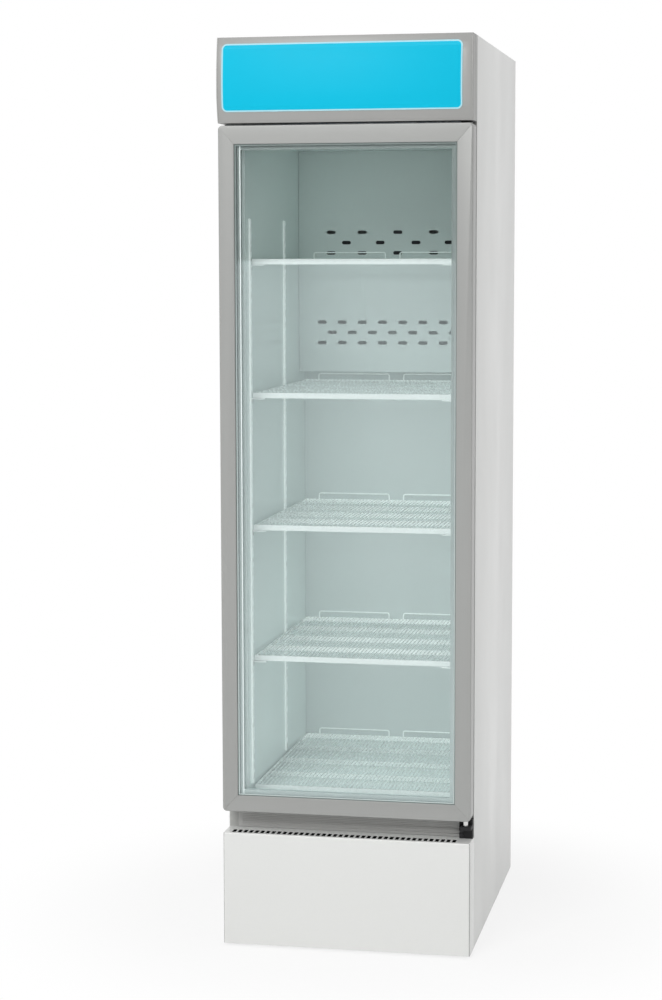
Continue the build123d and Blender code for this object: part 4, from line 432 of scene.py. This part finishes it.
def moulded(name, colour, roughness=0.45, depth=MOULD_GRAIN):
    """Injection-moulded plastic with a spark-eroded grain."""
    r = Recipe(name)
    grain = r.noise(1400.0, 2.0, seed=9.0)
    clouds = r.noise(7.0, 2.0, seed=10.0)
    sockets = {
        "Base Color": r.blend(clouds, shaded(colour, 0.95), shaded(colour, 1.05)),
        "Roughness": r.step(grain, 0.3, 0.7, roughness - 0.05, roughness + 0.07),
        "Normal": r.bump(grain, depth),
    }
    return r.finish(r.surface(sockets))


def rubber(name, colour, roughness=0.6):
    """Soft vinyl or rubber: matt, with bloom in the folds."""
    r = Recipe(name)
    bloom = r.noise(40.0, 4.0, seed=11.0)
    sockets = {
        "Base Color": r.blend(r.step(bloom, 0.4, 0.8), colour, shaded(colour, 1.35)),
        "Roughness": r.step(bloom, 0.2, 0.8, roughness - 0.06, roughness + 0.12),
        "Normal": r.bump(r.noise(900.0, 2.0, seed=12.0), RUBBER_GRAIN),
        "Sheen Weight": 0.15,
    }
    return r.finish(r.surface(sockets))


def metal(name, colour, roughness=0.3, tarnish=(0.2, 0.2, 0.2), amount=0.2):
    """Bare drawn metal with fine scratches and some tarnish."""
    r = Recipe(name)
    scratch = r.noise(1.0, 2.0, r.scaled(1500.0, 160.0, 1500.0), seed=13.0)
    stain = r.noise(24.0, 4.0, seed=14.0)
    shade = r.blend(r.step(stain, 0.5, 0.8) * amount, colour, tarnish)
    sockets = {
        "Base Color": shade,
        "Metallic": 1.0,
        "Roughness": r.step(scratch, 0.2, 0.8, roughness - 0.08, roughness + 0.12),
        "Normal": r.bump(scratch, METAL_SCRATCH),
    }
    return r.finish(r.surface(sockets))


def blackened_front(name, colour):
    """Bright zinc screws, blackened where they hold the hinges at the front."""
    r = Recipe(name)
    scratch = r.noise(1400.0, 2.0, seed=20.0)
    front = 1 - r.step(r.place("Y"), *HINGE_SCREWS)
    sockets = {
        "Base Color": r.blend(front, colour, (0.02, 0.02, 0.022)),
        "Metallic": 1 - front * 0.8,
        "Roughness": r.step(scratch, 0.2, 0.8, 0.24, 0.42),
        "Normal": r.bump(scratch, METAL_SCRATCH),
    }
    return r.finish(r.surface(sockets))


def enamel(name, colour, rear=1.0, right=1.0, top=1.0):
    """Smooth gloss coat on the cold room's sheet with painted light and shade: walls lighter low down
    and high up, and the rear wall scaled by rear, darkening to the right by right, and by top on its
    upper part.
    """
    r = Recipe(name)
    clouds = r.noise(2.5, 2.0, seed=21.0)
    shade = r.blend(clouds, shaded(colour, 0.985), shaded(colour, 1.01))
    # Painted light on the walls low down and high up
    low_wall_painted_light = 1 - r.step(r.place("Z"), *LOW_WALL)
    high_wall_painted_light = r.step(r.place("Z"), *HIGH_WALL)
    shade = r.blend(low_wall_painted_light, shade, shaded(colour, 1.16))
    shade = r.blend(high_wall_painted_light, shade, shaded(colour, 1.1))
    # Painted shade on the rear wall, growing to the right, and scaled again on its upper part
    across = r.step(r.place("X"), *REAR_WALL_LEFT_TO_RIGHT)
    rear_painted_shade = r.blend(across, shaded(colour, rear), shaded(colour, rear * right))
    rear_top_painted_light = r.blend(across, shaded(colour, rear * top), shaded(colour, rear * right * top))
    rear_painted_shade = r.blend(high_wall_painted_light, rear_painted_shade, rear_top_painted_light)
    shade = r.blend(rear_wall(r), shade, rear_painted_shade)
    sockets = {
        # Painted shade behind the upper air slots
        "Base Color": r.blend(painted_shade_behind_slots(r), shade, PATCHES[painted_shade_behind_slots]),
        "Roughness": r.step(r.noise(14.0, 2.0, seed=22.0), 0.3, 0.7, 0.14, 0.17),
        "Normal": r.bump(r.noise(500.0, 1.0, seed=23.0), ENAMEL_WAVE),
    }
    return r.finish(r.surface(sockets))


def spacer_bar(name, colour, low_sealant, high_sealant_in_painted_shade):
    """Bar between the panes, dulled by sealant that darkens upwards as painted shade; the left bar's
    inner corner shows metal, brightened as a painted highlight that glows.
    """
    r = Recipe(name)
    low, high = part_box("glass_spacer")
    inner = low.x + SPACER_WIDTH
    front = r.near(r.place("Y"), low.y + SPACER_SKIN, SPACER_BLUR)
    corner = r.past(r.place("X"), inner - SPACER_CORNER - SPACER_BLUR, SPACER_BLUR)
    # The corner line is metal and a painted highlight
    bare_and_painted_highlight = front * corner * r.near(r.place("X"), inner, SPACER_BLUR)
    grain = r.noise(900.0, 2.0, seed=24.0)
    # Painted shade on the sealant, growing upwards
    sealant = r.blend(r.step(r.place("Z"), low.z, high.z), low_sealant, high_sealant_in_painted_shade)
    sockets = {
        "Base Color": r.blend(bare_and_painted_highlight, sealant, colour),
        "Metallic": bare_and_painted_highlight * 0.35,
        "Roughness": r.step(grain, 0.3, 0.7, 0.4, 0.5),
        "Normal": r.bump(grain, SHEET_GRAIN),
        # A painted glow on the corner line
        "Emission Color": r.blend(bare_and_painted_highlight, (0.0, 0.0, 0.0), colour),
        "Emission Strength": SPACER_PAINTED_GLOW,
    }
    return r.finish(r.surface(sockets))


def sealed_strip(name, low_colour, high_colour_in_painted_shade, bezel_shadow_colour):
    """Glossy sealant strip at the glass edge, mirroring as the glass beside it does; it darkens
    upwards as painted shade and has a painted shadow line along the bezel.
    """
    r = Recipe(name)
    waves = r.noise(30.0, 3.0, seed=25.0)
    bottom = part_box("door_rail_bottom")[1].z
    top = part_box("door_rail_top")[0].z
    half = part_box("inner_glass")[1].x - GLASS_IN_FRAME
    # A painted shadow line along the bezel
    beside = r.past(r.distance("X"), half - BEZEL_SHADOW_WIDTH, BEZEL_SHADOW_BLUR)
    height = r.distance("Z", (bottom + top) / 2)
    painted_bezel_shadow = r.larger(beside, r.past(height, (top - bottom) / 2 - BEZEL_SHADOW_WIDTH, BEZEL_SHADOW_BLUR))
    # Painted shade growing upwards
    shade = r.blend(r.step(r.place("Z"), bottom, top), low_colour, high_colour_in_painted_shade)
    shade = r.blend(waves * 0.15, shade, shaded(low_colour, 0.5))
    body = r.surface({
        "Base Color": r.blend(painted_bezel_shadow, shade, bezel_shadow_colour),
        "Roughness": r.step(waves, 0.3, 0.7, 0.5, 0.6),
        "Specular IOR Level": 0.0,
    })
    mirror = r.node("BsdfGlossy", sockets={
        "Color": (*GLASS_SHINE, 1.0),
        "Roughness": r.step(waves, 0.3, 0.7, 0.06, 0.12),
    })
    share = r.node("Fresnel", sockets={0: GLASS_INDEX}) * (GLASS_FACES * 2) * (1 - painted_bezel_shadow)
    return r.finish(r.node("MixShader", sockets={0: r.smaller(share, 1.0), 1: body, 2: mirror}))


def wire_coat(name, colour, front_painted_shade=1.0, painted_glow=0.0, rear_painted_glow=0.0):
    """Thick white dip coat on shelf wire: glossy and uneven, with painted shade on the front bar and a
    painted glow, set apart for the rear stops.
    """
    r = Recipe(name)
    runs = r.noise(60.0, 2.0, seed=15.0)
    low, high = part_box("shelf_1")
    front = r.near(r.place("Y"), low.y + FRONT_BAR, FRONT_BAR_BLUR)
    rear = r.past(r.place("Y"), high.y - REAR_STOP, REAR_STOP_BLUR)
    shade = r.blend(runs, shaded(colour, 0.96), colour)
    sockets = {
        # Painted shade on the front bar
        "Base Color": r.blend(front, shade, shaded(colour, front_painted_shade)),
        "Roughness": r.step(runs, 0.3, 0.7, 0.2, 0.32),
        "Normal": r.bump(runs, DIP_RUNS),
        "Coat Weight": 0.4,
        "Coat Roughness": 0.1,
        # Painted glow, set apart on the rear stops
        "Emission Color": r.blend(rear, shaded(colour, painted_glow), shaded(colour, rear_painted_glow)),
        "Emission Strength": 1.0,
    }
    return r.finish(r.surface(sockets))


def foam(name, colour):
    """Cut polyurethane foam: pores and a skin that has darkened."""
    r = Recipe(name)
    pores = r.node("TexVoronoi", {"feature": "F1"}, {"Vector": r.place(), "Scale": 700.0})
    skin = r.noise(12.0, 4.0, seed=16.0)
    sockets = {
        "Base Color": r.blend(r.step(skin, 0.35, 0.75), colour, shaded(colour, 0.7)),
        "Roughness": r.step(pores, 0.0, 0.6, 0.95, 0.8),
        "Normal": r.bump(pores, FOAM_PORES),
    }
    return r.finish(r.surface(sockets))


def beyond_sign_edge(r):
    """How far a point lies outside the sign's rounded outline, and less than 0 within it."""
    low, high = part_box("sign_panel")
    half = (high - low) / 2
    middle = (high + low) / 2
    across = r.distance("X", middle.x) - (half.x - SIGN_CORNER)
    up = r.distance("Z", middle.z) - (half.z - SIGN_CORNER)
    corner = (r.larger(across, 0.0) ** 2.0 + r.larger(up, 0.0) ** 2.0) ** 0.5
    return corner + r.smaller(r.larger(across, up), 0.0) - SIGN_CORNER


def sign_sheet(name, colour, border):
    """Satin acrylic, coloured through, with a pale line round its edge."""
    r = Recipe(name)
    clouds = r.noise(4.0, 2.0, seed=18.0)
    matt = r.noise(320.0, 2.0, seed=19.0)
    line = r.past(beyond_sign_edge(r), -SIGN_BORDER - SIGN_BLUR, SIGN_BLUR)
    shade = r.blend(clouds, shaded(colour, 0.965), shaded(colour, 1.03))
    sockets = {
        "Base Color": r.blend(line, shade, border),
        "Roughness": r.step(matt, 0.3, 0.7, 0.42, 0.5),
        "Normal": r.bump(matt, SHEET_GRAIN),
        "Specular IOR Level": 0.12,
    }
    return r.finish(r.surface(sockets))


def lamp(name):
    """Frosted lamp tube, glowing a little."""
    r = Recipe(name)
    ends = r.step(r.distance("X"), *LAMP_ENDS)
    sockets = {
        "Base Color": r.blend(ends, (0.86, 0.88, 0.9), (0.5, 0.5, 0.5)),
        "Roughness": 0.35,
        "Emission Color": r.blend(ends, (0.9, 0.95, 1.0), (0.35, 0.34, 0.33)),
        "Emission Strength": 0.6,
    }
    return r.finish(r.surface(sockets))


def door_glass(name, tint, shine):
    """Clear float glass: passes tinted light straight on, and mirrors at its outer faces."""
    r = Recipe(name)
    smear = r.noise(5.0, 5.0, r.scaled(1.0, 1.0, 0.3), seed=17.0)
    fresnel = r.node("Fresnel", sockets={0: GLASS_INDEX})
    outer_face = 1 - r.node("NewGeometry", output="Backfacing")
    clear = r.node("BsdfTransparent", sockets={0: (*tint, 1.0)})
    mirror = r.node("BsdfGlossy", sockets={
        "Color": (*GLASS_SHINE, 1.0),
        "Roughness": r.step(smear, 0.55, 0.9, 0.0, 0.04),
    })
    share = r.smaller(fresnel * shine * outer_face, 1.0)
    return r.finish(r.node("MixShader", sockets={0: share, 1: clear, 2: mirror}))


# Colours that several finishes share
CASING = linear(229, 230, 228)
DOOR_GREY = linear(163, 164, 162)

# Finishes by the record's slots; a piece named here differs from the rest of its slot
FINISHES = {
    "lower_front_panel": lambda n: casing_paint(n, linear(231, 232, 230), panel_hollow_painted_shade),
    "side_panel_left": lambda n: casing_paint(n, CASING, front_flange),
    "side_panel_right": lambda n: casing_paint(n, CASING, front_flange),
    "casing_paint": lambda n: casing_paint(n, CASING),
    "top_panel": lambda n: painted(n, linear(216, 217, 215), gloss=0.62, coat=0.0),
    "galvanised_sheet": lambda n: galvanised(n, (0.62, 0.63, 0.64)),
    "insulation_foam": lambda n: foam(n, (0.78, 0.66, 0.38)),
    # The liner's rear wall is in painted shade, darker to the right
    "liner_white": lambda n: enamel(n, linear(228, 238, 236), rear=0.87, right=0.86),
    # The duct cover is the liner's white darkened as painted shade, darker to the right and with
    # painted light at its top
    "duct_cover": lambda n: enamel(n, linear(209, 219, 217), right=0.87, top=1.15),
    "recess_grey": lambda n: moulded(n, linear(187, 187, 185), 0.5),
    "canopy_grey": lambda n: moulded(n, linear(158, 158, 156), 0.38, FINE_MOULD_GRAIN),
    "sign_acrylic": lambda n: sign_sheet(n, linear(6, 188, 221), linear(176, 222, 232)),
    "lamp_white": lambda n: lamp(n),
    "holder_plastic": lambda n: moulded(n, (0.7, 0.7, 0.68), 0.4),
    "hinge_black": lambda n: moulded(n, (0.006, 0.006, 0.007), 0.6),
    "pin_steel": lambda n: metal(n, (0.72, 0.72, 0.71), 0.22),
    "screws": lambda n: blackened_front(n, (0.66, 0.67, 0.66)),
    "coil_aluminium": lambda n: metal(n, (0.78, 0.79, 0.8), 0.36),
    "black_plastic": lambda n: moulded(n, (0.018, 0.018, 0.02), 0.42),
    "drain_plastic": lambda n: moulded(n, (0.6, 0.62, 0.62), 0.4),
    # Painted shade on the shelves' front bars, and a painted glow on the pilasters and the rear stops
    "shelf_white": lambda n: wire_coat(n, linear(244, 250, 248), front_painted_shade=0.76, rear_painted_glow=0.14),
    "shelf_pilasters": lambda n: wire_coat(n, linear(245, 251, 249), painted_glow=0.13, rear_painted_glow=0.13),
    "compressor_black": lambda n: painted(n, (0.012, 0.012, 0.013), gloss=0.28),
    "pipe_copper": lambda n: metal(
        n, (0.78, 0.36, 0.22), tarnish=(0.18, 0.09, 0.05), amount=0.5
    ),
    "box_steel": lambda n: galvanised(n, (0.6, 0.61, 0.62)),
    "door_paint": lambda n: brushed_paint(n, DOOR_GREY),
    # Painted shade on the stiles' upper parts, painted light on the top rail
    "door_stile_left": lambda n: brushed_paint(n, DOOR_GREY, top=0.94),
    "door_stile_right": lambda n: brushed_paint(n, DOOR_GREY, top=0.84),
    "door_rail_top": lambda n: brushed_paint(n, DOOR_GREY, top=1.06),
    "grip_grey": lambda n: moulded(n, (0.25, 0.25, 0.25), 0.45),
    "door_glass": lambda n: door_glass(n, GLASS_TINT, GLASS_FACES),
    # The spacer's sealant darkens upwards as painted shade; its corner line is a painted highlight
    "spacer_aluminium": lambda n: spacer_bar(
        n, (0.93, 0.96, 0.95), (0.49, 0.56, 0.55), (0.28, 0.325, 0.315)
    ),
    # The sealant strip darkens upwards as painted shade, with a painted shadow line along the bezel
    "seal_rubber": lambda n: sealed_strip(
        n, (0.5, 0.58, 0.56), (0.29, 0.34, 0.33), (0.14, 0.18, 0.17)
    ),
    "bead_plastic": lambda n: moulded(n, linear(226, 234, 232), 0.35),
    "gasket_rubber": lambda n: rubber(n, linear(176, 180, 178)),
    "foot_steel": lambda n: moulded(n, (0.03, 0.03, 0.03), 0.5),
}


body_of = {}


def dress_nodes():
    """Every piece of the frame takes its slot's finish, or its own."""
    made = {}
    for name, node in frame["nodes"].items():
        slot = node.data.materials[0].name.split(".")[0]
        finish = name if name in FINISHES else slot
        if finish not in made:
            made[finish] = FINISHES[finish]("finish_" + finish)
        node.data.materials[0] = made[finish]
    for body, members in frame["record"]["behaviour"]["bodies"].items():
        for name in members:
            body_of[name] = body


# Pieces made here

def stand_for(name, form, suffix, angle):
    """Makes an object of a form, in place of a frame piece and with its finish."""
    node = frame["nodes"][name]
    mesh = bpy.data.meshes.new(name + suffix)
    form.to_mesh(mesh)
    form.free()
    mesh.shade_smooth()
    mesh.set_sharp_from_angle(angle=angle)
    mesh.materials.append(node.data.materials[0])
    piece = bpy.data.objects.new(name + suffix, mesh)
    bpy.context.scene.collection.objects.link(piece)
    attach(piece, body_of[name])
    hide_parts(name)


def merged(name):
    """A frame piece's shape with its loose triangles joined into flat faces."""
    form = bmesh.new()
    form.from_mesh(frame["nodes"][name].data)
    bmesh.ops.remove_doubles(form, verts=form.verts, dist=WELD)
    bmesh.ops.dissolve_limit(form, angle_limit=FLAT_ANGLE, verts=form.verts, edges=form.edges)
    return form


def hard_edges(form):
    return [
        edge
        for edge in form.edges
        if edge.is_manifold
        and edge.is_convex
        and edge.calc_face_angle() > HARD_ANGLE
        and edge.calc_length() > SHORTEST_EDGE
    ]


def round_off(form, width):
    """Rounds the outer edges of a form with two facets each."""
    bmesh.ops.bevel(
        form,
        geom=hard_edges(form),
        offset=width,
        offset_type="OFFSET",
        segments=2,
        profile=0.5,
        affect="EDGES",
        clamp_overlap=True,
        material=-1,
    )


# Folded, rolled and moulded edges aren't knife sharp: how many millimetres come off each
SOFTENED = {
    0.25: "back_panel top_panel rear_grille lower_crossmember duct_cover shelf_pilasters",
    0.4: "side_panel_left side_panel_right base_pan breaker_frame canopy_fascia control_box",
    0.5: "door_stile_left door_stile_right door_rail_bottom door_rail_top sign_panel shelf_clips",
    0.7: "canopy_end_caps top_hinge_bracket bottom_hinge_bracket drip_tray evaporator_drip_pan",
    0.8: "glazing_bead door_grip power_inlet lamp_holders canopy_tray",
}


def soften_sheets():
    """Puts a copy with rounded edges in place of every piece that is named above."""
    for width_mm, names in SOFTENED.items():
        for name in names.split():
            form = merged(name)
            round_off(form, width_mm * MM)
            stand_for(name, form, "_softened", SHADE_ANGLE)


def press_gasket():
    """Magnetic gasket swept round the door: foot, two folds of bellows, magnet pocket."""
    low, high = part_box("door_gasket")
    middle = GASKET_HALF_WIDTH
    left, right = low.x + middle, high.x - middle
    bottom, top = low.z + middle, high.z - middle
    half = [(reach * MM, low.y + depth * MM) for reach, depth in GASKET_HALF_PROFILE]
    profile = half + [(-reach, y) for reach, y in reversed(half)]
    corners = (
        (left, -1, bottom, -1),
        (right, 1, bottom, -1),
        (right, 1, top, 1),
        (left, -1, top, 1),
    )
    form = bmesh.new()
    loops = []
    for x, outward, z, upward in corners:
        places = [(x + outward * reach, y, z + upward * reach) for reach, y in profile]
        section = [form.verts.new(place) for place in places]
        loops.append([form.edges.new(pair) for pair in zip(section, section[1:] + section[:1])])
    for here, there in zip(loops, loops[1:] + loops[:1]):
        bmesh.ops.bridge_loops(form, edges=here + there)
    bmesh.ops.recalc_face_normals(form, faces=form.faces)
    stand_for("door_gasket", form, "_bellows", GASKET_SHADE_ANGLE)


# Stage

def seen_directly(r):
    """1 for rays that look at the background straight, in a mirror or through glass."""
    straight = r.node("LightPath", output="Is Camera Ray")
    mirrored = r.node("LightPath", output="Is Glossy Ray")
    bent = r.node("LightPath", output="Is Transmission Ray")
    return r.larger(r.larger(straight, mirrored), bent)


def light_sky():
    """Even light from all round, a white background, and a dim room behind the camera."""
    world = bpy.data.worlds.new("sky")
    bpy.context.scene.world = world
    r = Recipe("sky", world)
    way = r.node("TexCoord", output="Generated")
    up = r.node("SeparateXYZ", sockets={0: way}, output="Z")
    back = r.node("SeparateXYZ", sockets={0: way}, output="Y") * -1.0
    room = r.past(up, ROOM_FOOT, ROOM_BLUR)
    room = room * r.step(back, *ROOM_SIDE) * (1 - r.step(up, *ROOM_HEAD))
    mirrored = r.node("LightPath", output="Is Glossy Ray")
    seen = seen_directly(r) * (1 - room * mirrored * (1 - ROOM_LEVEL))
    strength = SKY_LIGHT * (1 - seen_directly(r)) + seen
    sky = r.node("Background", sockets={0: (*WHITE, 1.0), 1: strength})
    r.node("OutputWorld", sockets={0: sky})


def pale_floor():
    """Matt floor finish that keeps the shadow near the cooler and is white further off."""
    r = Recipe("floor_pale")
    reach = r.node("VectorMath", {"operation": "LENGTH"}, {0: r.place()}, "Value")
    far = r.step(reach, SHADOW_NEAR, SHADOW_FAR, SHADOW_LIGHTENED, 1.0)
    matt = r.node("BsdfDiffuse", sockets={0: (*FLOOR_COLOUR, 1.0)})
    bright = r.node("Emission", sockets={0: (*WHITE, 1.0), 1: 1.0})
    return r.finish(r.node("MixShader", sockets={0: seen_directly(r) * far, 1: matt, 2: bright}))


def lay_floor():
    """A flat floor under the cooler's feet."""
    form = bmesh.new()
    bmesh.ops.create_grid(form, x_segments=1, y_segments=1, size=FLOOR_HALF)
    mesh = bpy.data.meshes.new("floor")
    form.to_mesh(mesh)
    form.free()
    mesh.materials.append(pale_floor())
    floor = bpy.data.objects.new("floor", mesh)
    floor.location.z = cad_low.z
    bpy.context.scene.collection.objects.link(floor)


def hang_lamp(name, place, aim, size, watts):
    """A large soft box at place, turned to face aim."""
    data = bpy.data.lights.new(name, "AREA")
    data.shape = "RECTANGLE"
    data.size, data.size_y = size
    data.energy = watts
    box = bpy.data.objects.new(name, data)
    box.location = place
    box.rotation_euler = (Vector(aim) - Vector(place)).to_track_quat("-Z", "Y").to_euler()
    bpy.context.scene.collection.objects.link(box)
    return box


def light_front():
    """The two soft boxes in front of the cooler and to its right."""
    middle = (cad_low + cad_high) / 2
    hang_lamp("soft_front", FRONT_LAMP_PLACE, middle, FRONT_LAMP_SIZE, FRONT_LAMP_WATTS)
    hang_lamp("soft_side", SIDE_LAMP_PLACE, middle, SIDE_LAMP_SIZE, SIDE_LAMP_WATTS)


def light_cold_room():
    """A light just behind the glass that shines to the rear and is never seen itself."""
    low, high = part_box("inner_glass")
    place = (low + high) / 2
    place.y = high.y + INSIDE_LAMP_GAP
    width = high.x - low.x - INSIDE_LAMP_MARGIN * 2
    height = high.z - low.z - INSIDE_LAMP_MARGIN * 2
    aim = place + Vector((0, 1, 0))
    inside = hang_lamp("soft_inside", place, aim, (width, height), INSIDE_LAMP_WATTS)
    inside.data.spread = INSIDE_LAMP_SPREAD
    inside.visible_camera = False
    inside.visible_glossy = False
    inside.visible_transmission = False


def set_camera():
    """Stands right of the cooler, turned left and tipped a little down."""
    data = bpy.data.cameras.new("camera")
    data.sensor_fit = "VERTICAL"
    data.sensor_height = SENSOR_HEIGHT_MM
    data.lens = SENSOR_HEIGHT_MM * FOCAL_LENGTH_PX / PHOTO_HEIGHT_PX
    data.clip_end = 200.0
    camera = bpy.data.objects.new("camera", data)
    turn = Matrix.Rotation(CAMERA_TURN, 4, "Z")
    tip = Matrix.Rotation(math.pi / 2 - CAMERA_DIP, 4, "X")
    lean = Matrix.Rotation(CAMERA_LEAN, 4, "Z")
    camera.matrix_world = Matrix.Translation(CAMERA_PLACE) @ turn @ tip @ lean
    bpy.context.scene.collection.objects.link(camera)
    bpy.context.scene.camera = camera


dress_nodes()
soften_sheets()
press_gasket()
light_sky()
lay_floor()
light_front()
light_cold_room()
set_camera()
bpy.context.scene.view_settings.view_transform = "Standard"
